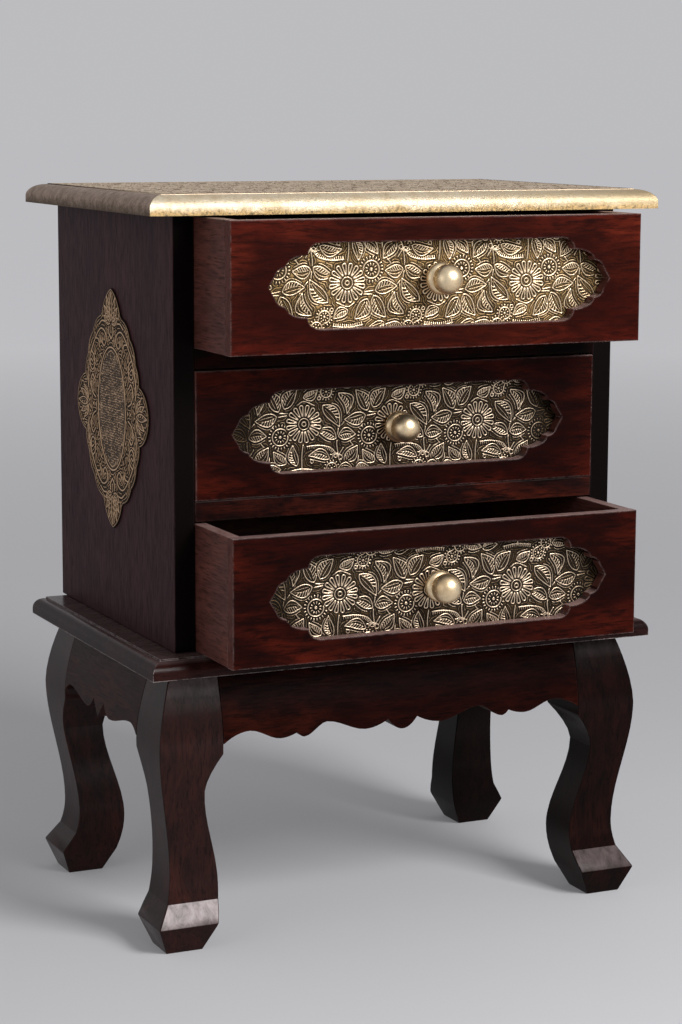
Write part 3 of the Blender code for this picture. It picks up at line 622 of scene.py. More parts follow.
def wood(name, tones, along, polish, roughness, wear, facings=(), halo=None):
    """Stained wood with mottled grain along an axis, a red glow in patches, and rubbed edges that are partly
    a painted highlight.

    Faces that look along one of the facings, between its limits, take its colour, by at least a share where
    the grain is dark. A halo, its middle and half sizes, darkens the wood round an opening.
    """
    dark, light, glow, worn_and_sheen = tones
    n = Nodes(name)
    noises = []
    for stretch, settings in (GRAIN_FINE, GRAIN_BANDS, GRAIN_PATCHES):
        scale = [1.0, 1.0, 1.0]
        scale[along] = stretch
        noises.append(n.noise(n.place(scale), *settings))
    fine, bands, patches = noises
    colour = n.mix(n.range(bands, *LIGHT_BANDS), dark, light)
    lit = n.math("MULTIPLY", n.range(patches, *GLOW_PATCHES), n.range(bands, *GLOW_BANDS))
    colour = n.mix(lit, colour, glow)
    pores = n.math("MULTIPLY", n.range(fine, *PORE_LEVELS), PORE_SHARE)
    colour = n.mix(pores, colour, shaded(dark, PORE_SHADE))
    if halo:
        middle, half = halo
        off = n.vector("SUBTRACT", n.place(), middle)
        away = n.vector("LENGTH", n.vector("MULTIPLY", off, (1 / half[0], 0.0, 1 / half[1])))
        uneven = n.math("ADD", away, n.range(patches, *NOISE_SPAN, -HALO_UNEVEN, HALO_UNEVEN))
        colour = n.mix(n.range(uneven, *HALO_SPAN, HALO_SHARE, 0.0), colour, shaded(dark, HALO_SHADE))
    normal = n.add("NewGeometry").outputs["Normal"]
    for direction, other, limits, least in facings:
        turned = n.range(n.vector("DOT_PRODUCT", normal, direction), *limits)
        share = n.math("MULTIPLY", turned, n.range(bands, *FACING_BANDS, least, 1.0))
        colour = n.mix(share, colour, other)
    chips = n.range(n.noise(n.place(), *CHIPS), *CHIP_LEVELS)
    # The rubbed edges' pale colour is partly wear and partly a painted highlight
    rubbed = n.math("MULTIPLY", n.math("MULTIPLY", n.edges(*EDGE_WEAR_AND_SHEEN), chips), wear)
    colour = n.mix(rubbed, colour, worn_and_sheen)
    gloss = [roughness + more for more in GRAIN_GLOSS]
    n.set(Base_Color=colour, Roughness=n.range(fine, *GLOSS_LEVELS, *gloss),
          Normal=n.bump(fine, *GRAIN_BUMP))
    n.shader.inputs["Specular IOR Level"].default_value = polish
    return n.material


# Embossed brass: noise settings as above, and the relief's levels between which it changes
STAINS = (60.0, 5.0, 0.65, 0.5)
STAIN_LEVELS = (0.36, 0.66)
STAIN_SHADE = 0.5
STAIN_LIFT = (-0.10, 0.06)     # stains move the ridges' lower limit by this
BRASS_FINE = (900.0, 4.0, 0.6)
BRASS_BUMP = (0.1 * MM, 0.35)
HOLLOW_LEVELS = (0.06, 0.34)
RIDGE_LEVELS = (0.46, 0.76)
METAL_LEVELS = (0.04, 0.30)
METAL_SHARES = (0.1, 0.95)     # dirt in the hollows isn't metal
RUBBED_LEVELS = (0.2, 0.9)
HOLLOW_ROUGH = 0.25            # added to the roughness in the hollows
HOLLOW_SHINE = 0.1


def brass_relief(name, hollow, ground, ridge, rough):
    """Embossed brass, darkened in its hollows and rubbed bright on its ridges."""
    n = Nodes(name)
    level = n.add("Attribute", attribute_name="relief").outputs["Fac"]
    stains = n.noise(n.place(), *STAINS)
    fine = n.noise(n.place(), *BRASS_FINE)
    colour = n.mix(n.range(stains, *STAIN_LEVELS), shaded(ground, STAIN_SHADE), ground)
    colour = n.mix(n.range(level, *HOLLOW_LEVELS), hollow, colour)
    shifted = n.math("ADD", level, n.range(stains, *NOISE_SPAN, *STAIN_LIFT))
    colour = n.mix(n.range(shifted, *RIDGE_LEVELS), colour, ridge)
    n.set(Base_Color=colour, Metallic=n.range(level, *METAL_LEVELS, *METAL_SHARES),
          Roughness=n.range(level, *RUBBED_LEVELS, rough + HOLLOW_ROUGH, rough),
          Normal=n.bump(fine, *BRASS_BUMP))
    n.shader.inputs["Specular IOR Level"].default_value = HOLLOW_SHINE
    return n.material


# Smooth brass: noise settings as above, levels, and the waviness of a strip's dark foot
CLOUDS = (6.0, 0.68, 0.4)      # their scale is the cloud's
GRIT = (520.0, 5.0, 0.72)
CREASE_STRETCH = (1.6, 1.6, 0.7)
CREASES = (260.0, 7.0, 0.75)
CLOUD_LEVELS = (0.34, 0.64)
CLOUD_SPAN = (0.25, 0.75)
SPECK_LEVELS = (0.56, 0.70)
FOOT_SPECKS = (0.48, 0.62)
SPECK_SHADE = 0.25
FOOT_WAVE = 1.5 * MM
CREASE_DEPTH = 0.8 * MM
CREASE_BUMP = (0.15, 1.2)      # strength on unmottled brass, and what full mottle adds
CLOUD_GLOSS = (0.06, -0.04)    # added to the roughness


def brass_smooth(name, dull, bright, roughness, mottle, cloud=40.0, foot=None, end=None):
    """Smooth brass with handling marks of a cloud size, fine creases and dull specks.

    A strip has its darker, speckled foot between two heights, foot[:2], in the colour foot[2]; on the front
    strip that colour is a painted reflection of the darker surroundings below, and the specks are dirt. It
    turns towards the colour end[2] between two places along the front, end[:2].
    """
    n = Nodes(name)
    clouds = n.noise(n.place(), cloud, *CLOUDS)
    grit = n.noise(n.place(), *GRIT)
    fine = n.noise(n.place(CREASE_STRETCH), *CREASES)
    colour = n.mix(n.range(clouds, *CLOUD_LEVELS), dull, bright)
    specks = n.math("MULTIPLY", n.range(grit, *SPECK_LEVELS), mottle)
    if end:
        start, stop, end_colour = end
        colour = n.mix(n.range(n.axis("X"), start, stop), colour, end_colour)
    if foot:
        low, high, foot_colour = foot
        uneven = n.math("ADD", n.axis("Z"), n.range(clouds, *NOISE_SPAN, -FOOT_WAVE, FOOT_WAVE))
        near = n.range(uneven, high, low)
        colour = n.mix(near, colour, foot_colour)
        specks = n.math("MAXIMUM", specks, n.math("MULTIPLY", n.range(grit, *FOOT_SPECKS), near))
    colour = n.mix(specks, colour, shaded(dull, SPECK_SHADE))
    gloss = [roughness + more for more in CLOUD_GLOSS]
    creased = CREASE_BUMP[0] + CREASE_BUMP[1] * mottle
    n.set(Base_Color=colour, Metallic=1.0, Normal=n.bump(fine, CREASE_DEPTH, creased),
          Roughness=n.range(clouds, *CLOUD_SPAN, *gloss))
    return n.material


STEEL_MARKS = (700.0, 4.0, 0.6)
STEEL_ROUGHER = 0.15           # most that marks add to the roughness


def plain_metal(name, dark, light, roughness):
    """Steel with fine marks of wear."""
    n = Nodes(name)
    marks = n.noise(n.place(), *STEEL_MARKS)
    n.set(Base_Color=n.mix(marks, dark, light), Metallic=1.0,
          Roughness=n.range(marks, *NOISE_SPAN, roughness, roughness + STEEL_ROUGHER))
    return n.material


SMOOTH_LIMIT = 15.5
WELD = 0.01 * MM


def smooth_by_angle():
    """Node group that shades a CAD mesh smooth, apart from edges sharper than its limit."""
    group = bpy.data.node_groups.new("smooth_by_angle", "GeometryNodeTree")
    group.interface.new_socket("Geometry", in_out="INPUT", socket_type="NodeSocketGeometry")
    group.interface.new_socket("Geometry", in_out="OUTPUT", socket_type="NodeSocketGeometry")
    start = group.nodes.new("NodeGroupInput")
    weld = group.nodes.new("GeometryNodeMergeByDistance")
    weld.inputs["Distance"].default_value = WELD
    faces = group.nodes.new("GeometryNodeSetShadeSmooth")
    faces.domain = "FACE"
    angle = group.nodes.new("GeometryNodeInputMeshEdgeAngle")
    sharp = group.nodes.new("FunctionNodeCompare")
    sharp.inputs["B"].default_value = math.radians(SMOOTH_LIMIT)
    edges = group.nodes.new("GeometryNodeSetShadeSmooth")
    edges.domain = "EDGE"
    edges.inputs["Shade Smooth"].default_value = False
    end = group.nodes.new("NodeGroupOutput")
    for source, target in ((start.outputs[0], weld.inputs["Geometry"]),
                           (weld.outputs["Geometry"], faces.inputs["Geometry"]),
                           (faces.outputs["Geometry"], edges.inputs["Geometry"]),
                           (angle.outputs["Unsigned Angle"], sharp.inputs["A"]),
                           (sharp.outputs["Result"], edges.inputs["Selection"]),
                           (edges.outputs["Geometry"], end.inputs[0])):
        group.links.new(source, target)
    return group


# Tones of the woods: dark, light, glow, and worn edges, which are partly a painted highlight
PANEL_TONES = ((0.0370, 0.0155, 0.0185), (0.0570, 0.0245, 0.0285), (0.0690, 0.0265, 0.0285),
               (0.12, 0.085, 0.080))
RAIL_TONES = ((0.0040, 0.0012, 0.0010), (0.0190, 0.0032, 0.0022), (0.0700, 0.0110, 0.0055),
              (0.15, 0.090, 0.075))
APRON_TONES = ((0.0080, 0.0014, 0.0009), (0.0200, 0.0032, 0.0019), (0.0460, 0.0074, 0.0032),
               (0.10, 0.055, 0.045))
LEG_TONES = ((0.0175, 0.0075, 0.0064), (0.0320, 0.0110, 0.0088), (0.0540, 0.0150, 0.0104),
             (0.10, 0.055, 0.045))
# The base's very pale worn colour is mostly a painted highlight along its moulding
BASE_TONES = ((0.0110, 0.0040, 0.0038), (0.0230, 0.0080, 0.0074), (0.0380, 0.0105, 0.0080),
              (0.50, 0.420, 0.405))
# Top drawer front painted lighter, as painted light from above; the lower fronts' tones are the same wood
# darkened as painted shade
LIT_RED_TONES = ((0.0270, 0.0031, 0.0015), (0.0700, 0.0070, 0.0034), (0.1250, 0.0160, 0.0064),
             (0.40, 0.290, 0.270))
SHADED_RED_TONES = ((0.0112, 0.0015, 0.0009), (0.0340, 0.0035, 0.0018), (0.0740, 0.0082, 0.0034),
              (0.40, 0.290, 0.270))
SIDE_TONES = ((0.0850, 0.0300, 0.0235), (0.1420, 0.0500, 0.0400), (0.1650, 0.0530, 0.0360),
              (0.42, 0.300, 0.280))
PLAIN_TONES = ((0.0450, 0.0180, 0.0110), (0.0850, 0.0360, 0.0200), (0.1100, 0.0420, 0.0200),
               (0.20, 0.130, 0.095))
# The upper rail's tones are the rail's darkened as painted shade under the top drawer
UPPER_RAIL_SHADED_TONES = [shaded(tone, 0.3) for tone in RAIL_TONES]
# The right legs' tones are the left legs' darkened as painted shade, the right side being less lit
RIGHT_LEG_SHADED_TONES = [shaded(tone, 0.28) for tone in LEG_TONES]

# Faces in another colour: direction, colour, shares of the direction between which it comes in, least share
FACE_LIMITS = (0.70, 0.95)
HOOF_LIMITS = (0.960, 0.995)
HOOF_SLOPE = (0.0, -0.843, 0.538)
# Up-facing edges and opening sills: raw wood, painted paler still as light from above; the opening's side
# walls are raw wood
RAW_EDGE_AND_TOP_LIGHT = (UP, (0.27, 0.170, 0.154), FACE_LIMITS, 0.4)
FLANKS = [RAW_EDGE_AND_TOP_LIGHT] + [(way, (0.140, 0.050, 0.040), FACE_LIMITS, 0.4) for way in (LEFT, RIGHT)]
SHADED_FRONT = (FRONT, (0.0036, 0.0020, 0.0018), FACE_LIMITS, 1.0)
# Up-facing faces of the base and top boards painted lighter: a painted sheen of light from above
UP_FACE_SHEEN = (UP, (0.115, 0.072, 0.070), FACE_LIMITS, 0.5)
# Hoof slopes and knee tops facing up and forward: a painted highlight on the left legs, a fainter painted
# sheen on the right ones
PAINTED_HOOF_SHEEN = (HOOF_SLOPE, (0.125, 0.095, 0.093), HOOF_LIMITS, 0.3)
PAINTED_HOOF_HIGHLIGHT = (HOOF_SLOPE, (0.41, 0.335, 0.330), HOOF_LIMITS, 0.3)

# Each wood: tones, the grain's axis, polish, roughness, wear of edges that also carry a painted highlight,
# and faces in another colour
WOODS = {
    "panel_wood": (PANEL_TONES, TALL, 0.03, 0.42, 0.3, (SHADED_FRONT,)),
    "lower_rail_wood": (RAIL_TONES, ACROSS, 0.06, 0.40, 0.8),
    "upper_rail_wood": (UPPER_RAIL_SHADED_TONES, ACROSS, 0.03, 0.40, 0.5),
    "base_wood": (BASE_TONES, ACROSS, 0.07, 0.20, 1.0, (UP_FACE_SHEEN,)),
    "apron_wood_across": (APRON_TONES, ACROSS, 0.03, 0.30, 0.2),
    "apron_wood_deep": (LEG_TONES, DEEP, 0.045, 0.30, 0.2),
    "left_leg_wood": (LEG_TONES, TALL, 0.11, 0.16, 0.25, (PAINTED_HOOF_HIGHLIGHT,)),
    "right_leg_wood": (RIGHT_LEG_SHADED_TONES, TALL, 0.06, 0.17, 0.25, (PAINTED_HOOF_SHEEN,)),
    "drawer_side_wood": (SIDE_TONES, DEEP, 0.10, 0.45, 0.9, (RAW_EDGE_AND_TOP_LIGHT,)),
    "plain_wood_across": (PLAIN_TONES, ACROSS, 0.2, 0.55, 0.4),
    "plain_wood_deep": (PLAIN_TONES, DEEP, 0.2, 0.55, 0.4),
    "plain_wood_upright": (PLAIN_TONES, TALL, 0.2, 0.55, 0.4),
}
# Drawer fronts: tones of each, the looks that they share, and half sizes of the darker wood round an opening
# The top front takes the lit tones and the lower two fronts take the painted-shade tones
FRONT_TONES = {"top_drawer": LIT_RED_TONES, "middle_drawer": SHADED_RED_TONES, "bottom_drawer": SHADED_RED_TONES}
FRONT_LOOKS = (ACROSS, 0.04, 0.36, 1.0, FLANKS)
FRONT_HALO = (160.0 * MM, 45.0 * MM)

# CAD nodes of each wood, and the wood of a drawer's other boards
WOOD_NODES = {
    "panel_wood": ("left_side_panel", "right_side_panel"),
    "lower_rail_wood": ("lower_rail",),
    "upper_rail_wood": ("upper_rail",),
    "base_wood": ("top_board", "base_board"),
    "apron_wood_across": ("front_apron", "back_apron"),
    "apron_wood_deep": ("left_apron", "right_apron"),
    "left_leg_wood": ("front_left_leg", "back_left_leg"),
    "right_leg_wood": ("front_right_leg", "back_right_leg"),
    "plain_wood_deep": ("lower_left_runner", "lower_right_runner", "upper_left_runner", "upper_right_runner"),
    "plain_wood_upright": ("back_panel",),
}
BOARD_WOODS = {"left_side": "drawer_side_wood", "right_side": "drawer_side_wood", "back": "plain_wood_across",
               "floor": "plain_wood_across", "backing": "plain_wood_across"}


def paint(node, material):
    """Gives a CAD node its material."""
    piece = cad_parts[node]
    piece.data.materials.clear()
    piece.data.materials.append(material)
    return piece


def dress_wood():
    """Gives each wooden CAD node its grain and shades its curves smooth."""
    woods = {name: wood(name, *looks) for name, looks in WOODS.items()}
    kinds = {node: name for name, nodes in WOOD_NODES.items() for node in nodes}
    for drawer in DRAWERS:
        low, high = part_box(drawer + "_front")
        name = drawer + "_wood"
        woods[name] = wood(name, FRONT_TONES[drawer], *FRONT_LOOKS, ((low + high) / 2, FRONT_HALO))
        kinds[drawer + "_front"] = name
        for board, kind in BOARD_WOODS.items():
            kinds[f"{drawer}_{board}"] = kind
    smooth = smooth_by_angle()
    for node, kind in kinds.items():
        piece = paint(node, woods[kind])
        piece.modifiers.new("smooth_by_angle", "NODES").node_group = smooth


# Embossed plates: brass, daisy's place in millimetres, turn in degrees, shine lost at both ends to dirt and
# to painted shade from the opening's edge
PLATE_LOOKS = {
    "top_drawer": ("old_brass_pale", (0.35, 0.3), 179.35, 0.25),
    "middle_drawer": ("old_brass_dark", (-3.85, 2.1), -1.45, 0.60),
    "bottom_drawer": ("old_brass_dark", (-6.15, -3.0), -1.84, 0.50),
}
PLATE_ENDS = (112.0 * MM, 146.0 * MM)
PLATE_HIDDEN = 5.0 * MM   # plain rim of a plate behind the wood
KNOB_SEAT = (6.5 * MM, 9.0 * MM)


def dress_plates(tile, brasses):
    """Embossed sheets behind the pierced drawer fronts, flat under the knob's neck."""
    for drawer in DRAWERS:
        node = drawer + "_plate"
        low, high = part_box(node)
        knob_low, knob_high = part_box(drawer + "_knob")
        middle = (low + high) / 2
        knob = (knob_low + knob_high) / 2
        half = (high - low) / 2
        lines = []
        for reach in (half.x, half.z):
            seen = np.arange(PLATE_HIDDEN - reach, reach - PLATE_HIDDEN, PLATE_PITCH)
            lines.append(np.concatenate([[-reach], seen, [reach]]))
        u, v = np.meshgrid(*lines)
        brass, (daisy_u, daisy_v), turn, end_dirt_and_shade = PLATE_LOOKS[drawer]
        off_u, off_v = u - daisy_u * MM, v - daisy_v * MM
        along, up = math.cos(math.radians(turn)), math.sin(math.radians(turn))
        level = tile.sample(along * off_u + up * off_v, along * off_v - up * off_u)
        seat = 1 - smooth_step(np.hypot(u - knob.x + middle.x, v - knob.z + middle.z), *KNOB_SEAT)
        flat = 1 - PROUD / PLATE_RELIEF
        level = level * (1 - seat) + flat * seat
        hidden = (abs(u) > half.x - PLATE_HIDDEN) | (abs(v) > half.z - PLATE_HIDDEN)
        level[hidden] = flat / 2
        y = low.y - PROUD + PLATE_RELIEF * (1 - level)
        points = np.stack([u + middle.x, y, v + middle.z], axis=-1)
        # Both ends of a plate lose shine: dirt, and painted shade from the opening's edge
        tone = level * (1 - end_dirt_and_shade * smooth_step(abs(u), *PLATE_ENDS))
        mesh = sheet_mesh(drawer + "_embossed_plate", points, tone, (0, -1, 0), PROUD + high.y - low.y)
        piece = link_piece(mesh.name, mesh, drawer, "old_brass", brasses[brass], node)
        fewer_faces(piece, KEPT_FACES)


TOP_RIM = 1.7 * MM
TOP_SINK = 0.15 * MM      # ridges stay this far below the CAD sheet's face


def dress_top_sheet(tile, material):
    """Embossed sheet on the top, with a narrow plain rim, in the ridges' bright colour in front and behind,
    and dark beside as painted shade and dirt in the grooves along the side strips.
    """
    low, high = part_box("top_brass_sheet")
    middle, half = (low + high) / 2, (high - low) / 2
    lines = [np.linspace(-reach, reach, round(2 * reach / TOP_PITCH)) for reach in (half.x, half.y)]
    u, v = np.meshgrid(*lines)
    rim = np.minimum(half.x - abs(u), half.y - abs(v))
    plain = rim < TOP_RIM
    beside = half.x - abs(u) < half.y - abs(v)
    # The side rims are painted dark: painted shade and dirt in the grooves along the side strips
    tone = np.where(plain, np.where(beside, 0.0, 1.0), tile.sample(u, v))
    level = np.where(plain, smooth_step(rim, -TOP_RIM / 2, TOP_RIM / 2), tone)
    z = high.z - TOP_SINK - TOP_RELIEF * (1 - level)
    points = np.stack([u + middle.x, v + middle.y, z], axis=-1)
    mesh = sheet_mesh("top_embossed_sheet", points, tone, (0, 0, 1), high.z - low.z - TOP_SINK)
    piece = link_piece(mesh.name, mesh, "cabinet", "old_brass", material, "top_brass_sheet")
    fewer_faces(piece, TOP_KEPT_FACES)


# Medallions: the CAD outline's sizes, and the ornament inside it
MEDALLION_OVAL = (70.5 * MM, 86.0 * MM)
MEDALLION_LOBE = (68.0 * MM, 24.0 * MM, 101.8 * MM)
MEDALLION_SIDE = (62.0 * MM, 25.0 * MM, 88.0 * MM)
MEDALLION_SCALLOPS = 20
SCALLOP_DEEP = 2.0 * MM
FIELD_OVAL = (33.5 * MM, 52.0 * MM)
FIELD_SEED = 7
FIELD_PITCH = (3.6 * MM, 2.1 * MM)
FIELD_GROUND = 0.46
FIELD_SHIFT = 0.4            # most that a stroke is off its place, in millimetres
FIELD_LEAN = 0.5             # most that it leans, in radians
FIELD_STROKE = (0.8, 1.6)    # its half length, in millimetres
FIELD_RISE = (0.6, 1.0)
STROKES_SHARE = 0.90         # the strokes' part of the field
GROUND_SHARE = 0.97          # the raised ground's part of the field
FIELD_MOAT = 1.8 * MM
MEDALLION_REACH = (92.0 * MM, 104.0 * MM)
MEDALLION_PITCH = 0.40 * MM
MEDALLION_ECHO = 1.2 * MM    # the outer line is this far inside the edge
MEDALLION_MARGIN = 2.0 * MM  # strokes between the scrolls stay this far inside the edge
MEDALLION_RIM = (0.992, 0.008)   # start and width of the sloping rim, as shares of the reach
HANDS = ((1, 1), (1, -1), (-1, 1), (-1, -1))
OUTLINE_STEPS = 360
FIELD_STEPS = 240


def lobe_reach(sizes, across, along):
    """Distance from the medallion's middle to a pointed lobe's edge, in directions given by their shares."""
    widest, half_wide, tip = sizes
    bow = ((tip - widest) ** 2 + half_wide ** 2) / (2 * half_wide)
    sink = bow - half_wide
    toward = widest * along - sink * across
    inside = toward ** 2 + bow ** 2 - widest ** 2 - sink ** 2
    return np.where(inside > 0, toward + np.sqrt(np.maximum(inside, 0.0)), 0.0)


def medallion_reach(angle):
    """Distance from the middle to the medallion's edge."""
    along, up = abs(np.cos(angle)), abs(np.sin(angle))
    half_wide, half_high = MEDALLION_OVAL
    oval = half_wide * half_high / np.hypot(half_high * along, half_wide * up)
    oval = oval - SCALLOP_DEEP * (1 - abs(np.sin(angle * MEDALLION_SCALLOPS / 2)))
    lobes = np.maximum(lobe_reach(MEDALLION_LOBE, along, up), lobe_reach(MEDALLION_SIDE, up, along))
    return np.maximum(oval, lobes)


def medallion_line(inset):
    """The medallion's edge, moved inwards."""
    angle = np.linspace(0.0, 2 * math.pi, OUTLINE_STEPS + 1)
    reach = medallion_reach(angle) - inset
    return np.stack([reach * np.cos(angle), reach * np.sin(angle)], axis=1)


# Scrolls of a quarter of the medallion, in millimetres from its middle
MEDALLION_SCROLLS = (
    ((58, 13), (59, 25), (52, 42), (39, 57), (26, 66), (15, 64), (12, 57), (17, 52), (22, 55), (20, 59)),
    ((49, 45), (43, 41), (42, 33), (48, 29), (53, 33), (51, 38), (47, 36)),
    ((6, 78), (13, 73), (22, 73), (30, 69)),
    ((0, 59), (5, 64), (4, 70), (0, 74)),
    ((38, 57), (31, 56), (29, 50)),
    ((40, 6), (48, 10), (52, 19), (47, 25), (42, 21)),
)
# Fans of leaves: foot in millimetres, heading in degrees, length, number of leaves and spread to each side
PALMETTES = (
    ((0.0, 74.0), 90.0, 25.0, 7, 78.0),
    ((0.0, -74.0), 270.0, 25.0, 7, 78.0),
    ((60.0, 0.0), 0.0, 24.0, 5, 58.0),
    ((-60.0, 0.0), 180.0, 24.0, 5, 58.0),
)
PALMETTE_SHORTER = 0.30      # what the outer leaves lack of the middle one's length
PALMETTE_WIDTH = 0.13        # a leaf's half width as a share of the length
PALMETTE_BEND = 0.10
PALMETTE_VEINS = 3


def draw_palmette(relief, foot, heading, long, leaves, spread):
    """A fan of leaves from one foot."""
    for index in sorted(range(leaves), key=lambda leaf: -abs(leaf - (leaves - 1) / 2)):
        lean = (index - (leaves - 1) / 2) / max(1, (leaves - 1) / 2)
        angle = math.radians(heading + spread * lean)
        reach = long * (1 - PALMETTE_SHORTER * abs(lean))
        tip = foot + reach * np.array([math.cos(angle), math.sin(angle)])
        hatched = 1 if lean >= 0 else -1
        draw_leaf(relief, foot, tip, PALMETTE_WIDTH * long, hatched, PALMETTE_BEND * lean, PALMETTE_VEINS)


def draw_field(relief):
    """Short wavy strokes in rows over the oval field."""
    chance = np.random.default_rng(FIELD_SEED)
    for v in np.arange(-FIELD_OVAL[1], FIELD_OVAL[1], FIELD_PITCH[1]):
        for u in np.arange(-FIELD_OVAL[0], FIELD_OVAL[0], FIELD_PITCH[0]):
            place = np.array([u, v]) + chance.uniform(-FIELD_SHIFT, FIELD_SHIFT, 2) * MM
            lean = chance.uniform(-FIELD_LEAN, FIELD_LEAN)
            stroke = chance.uniform(*FIELD_STROKE) * MM * np.array([math.cos(lean), math.sin(lean)])
            rise = chance.uniform(*FIELD_RISE)
            if np.hypot(place[0] / FIELD_OVAL[0], place[1] / FIELD_OVAL[1]) < STROKES_SHARE:
                relief.ridge([place - stroke, place + stroke], BUD_LINE, rise)


def medallion_relief():
    """Ornament of a medallion: a framed oval field in a ring of scrolls, with palmettes in the lobes."""
    reach = np.array(MEDALLION_REACH)
    relief = Relief(-reach, reach, MEDALLION_PITCH)
    for points in MEDALLION_SCROLLS:
        line = curve(np.array(points) * MM)
        for hand in HANDS:
            relief.ridge(line * hand, SCROLL_LINE)
    for foot, heading, long, leaves, spread in PALMETTES:
        draw_palmette(relief, np.array(foot) * MM, heading, long * MM, leaves, spread)
    turn = np.linspace(0.0, 2 * math.pi, FIELD_STEPS + 1)
    oval = np.stack([FIELD_OVAL[0] * np.cos(turn), FIELD_OVAL[1] * np.sin(turn)], axis=1)
    relief.clear(oval[:-1], FIELD_MOAT)
    draw_field(relief)
    relief.ridge(oval, FRAME_LINE)
    relief.ridge(medallion_line(MEDALLION_ECHO), RIDGE, ECHO_RISE)
    u, v = np.meshgrid(relief.u, relief.v)
    edge = medallion_reach(np.arctan2(v, u)) - MEDALLION_MARGIN
    quarter = (np.hypot(u, v) < edge) & (u >= 0) & (v >= 0)
    relief.fill(BUD_LINE, MEDALLION_FILL_RISE, quarter, HANDS)
    relief.flatten(GROUND)
    field = np.hypot(u / FIELD_OVAL[0], v / FIELD_OVAL[1]) < GROUND_SHARE
    relief.level[field] = np.maximum(relief.level[field], FIELD_GROUND)
    return relief


def disc_grid(count):
    """Share of the reach and angle over a disc covered by a square grid of points."""
    line = np.linspace(-1.0, 1.0, count)
    a, b = np.meshgrid(line, line)
    wide = abs(a) >= abs(b)
    share = np.where(wide, a, b)
    other = np.where(wide, b, a)
    slant = math.pi / 4 * other / np.where(share == 0, 1.0, share)
    angle = np.where(wide, slant, math.pi / 2 - slant)
    return share, angle


def dress_medallions(material):
    """Embossed medallions on both sides."""
    relief = medallion_relief()
    share, angle = disc_grid(MEDALLION_GRID)
    reach = share * medallion_reach(angle + np.where(share < 0, math.pi, 0.0))
    u, v = reach * np.cos(angle), reach * np.sin(angle)
    rim = np.maximum(abs(share) - MEDALLION_RIM[0], 0.0) / MEDALLION_RIM[1]
    level = relief.sample(u, v) * (1 - rim)
    for side, hand in ((-1, "left"), (1, "right")):
        node = hand + "_medallion"
        low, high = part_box(node)
        middle = (low + high) / 2
        face = high.x if side > 0 else low.x
        x = face - side * MEDALLION_RELIEF * (1 - level)
        points = np.stack([x, middle.y + side * u, middle.z + v], axis=-1)
        mesh = sheet_mesh(hand + "_embossed_medallion", points, level, (side, 0, 0), high.x - low.x)
        piece = link_piece(mesh.name, mesh, "cabinet", "old_brass", material, node)
        fewer_faces(piece, KEPT_FACES)


# Brass edge of the top: the CAD moulding's sizes with a finer round
EDGE_FILLET = 5.5 * MM
EDGE_RUN = 15.0 * MM
EDGE_SHEET = 0.8 * MM
EDGE_STEPS = 14
EDGE_GAP = 0.3 * MM
EDGE_STATION = 5.0 * MM
EDGE_DENT = 0.10 * MM
DENT_WAVES = (7.3 * MM, 3.1 * MM)   # lengths of a slow and a quick wave, over two pi
DENT_TURNS = (0.9, 0.6)             # how far each wave turns over a millimetre of height or inset
STRIP_SHARP = 50.0                  # bends over this many degrees stay sharp


def tube(name, rings, sharp, tip=None):
    """A closed mesh through rings of points, from a flat end or a tip to a flat end."""
    bm = bmesh.new()
    loops = [[bm.verts.new(place) for place in points] for points in rings]
    count = len(loops[0])
    if tip is None:
        bm.faces.new(loops[0])
    else:
        top = bm.verts.new(tip)
        for index in range(count):
            bm.faces.new((top, loops[0][index], loops[0][(index + 1) % count])).smooth = True
    for first, second in zip(loops, loops[1:]):
        for index in range(count):
            after = (index + 1) % count
            bm.faces.new((first[index], second[index], second[after], first[after])).smooth = True
    bm.faces.new(loops[-1][::-1])
    bmesh.ops.recalc_face_normals(bm, faces=bm.faces[:])
    for edge in bm.edges:
        edge.smooth = edge.calc_face_angle(0.0) < math.radians(sharp)
    mesh = bpy.data.meshes.new(name)
    bm.to_mesh(mesh)
    bm.free()
    return mesh


def edge_section(run, rise, sheet):
    """Inset and height round the strip's section, outside first."""
    turn = np.radians(np.linspace(0.0, 90.0, EDGE_STEPS + 1))
    outside, inside = [(0.0, 0.0)], [(sheet, 0.0)]
    for angle in turn:
        away, up = 1 - math.cos(angle), math.sin(angle)
        outside.append((run * away, EDGE_FILLET + rise * up))
        inside.append((sheet + (run - sheet) * away, EDGE_FILLET + (rise - sheet) * up))
    return outside, inside[::-1]


def dent(along, inset, height):
    """Small waves left by beating the strip over the moulding, from 0 to 1."""
    slow = math.sin(along / DENT_WAVES[0] + DENT_TURNS[0] * height / MM)
    quick = math.sin(along / DENT_WAVES[1] + DENT_TURNS[1] * inset / MM)
    return 0.5 + 0.25 * (slow + quick)


def edge_box():
    """Lowest and highest corners of the four strips together."""
    boxes = [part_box("brass_edge_" + side) for side in SIDES]
    low = Vector([min(values) for values in zip(*(box[0] for box in boxes))])
    high = Vector([max(values) for values in zip(*(box[1] for box in boxes))])
    return low, high


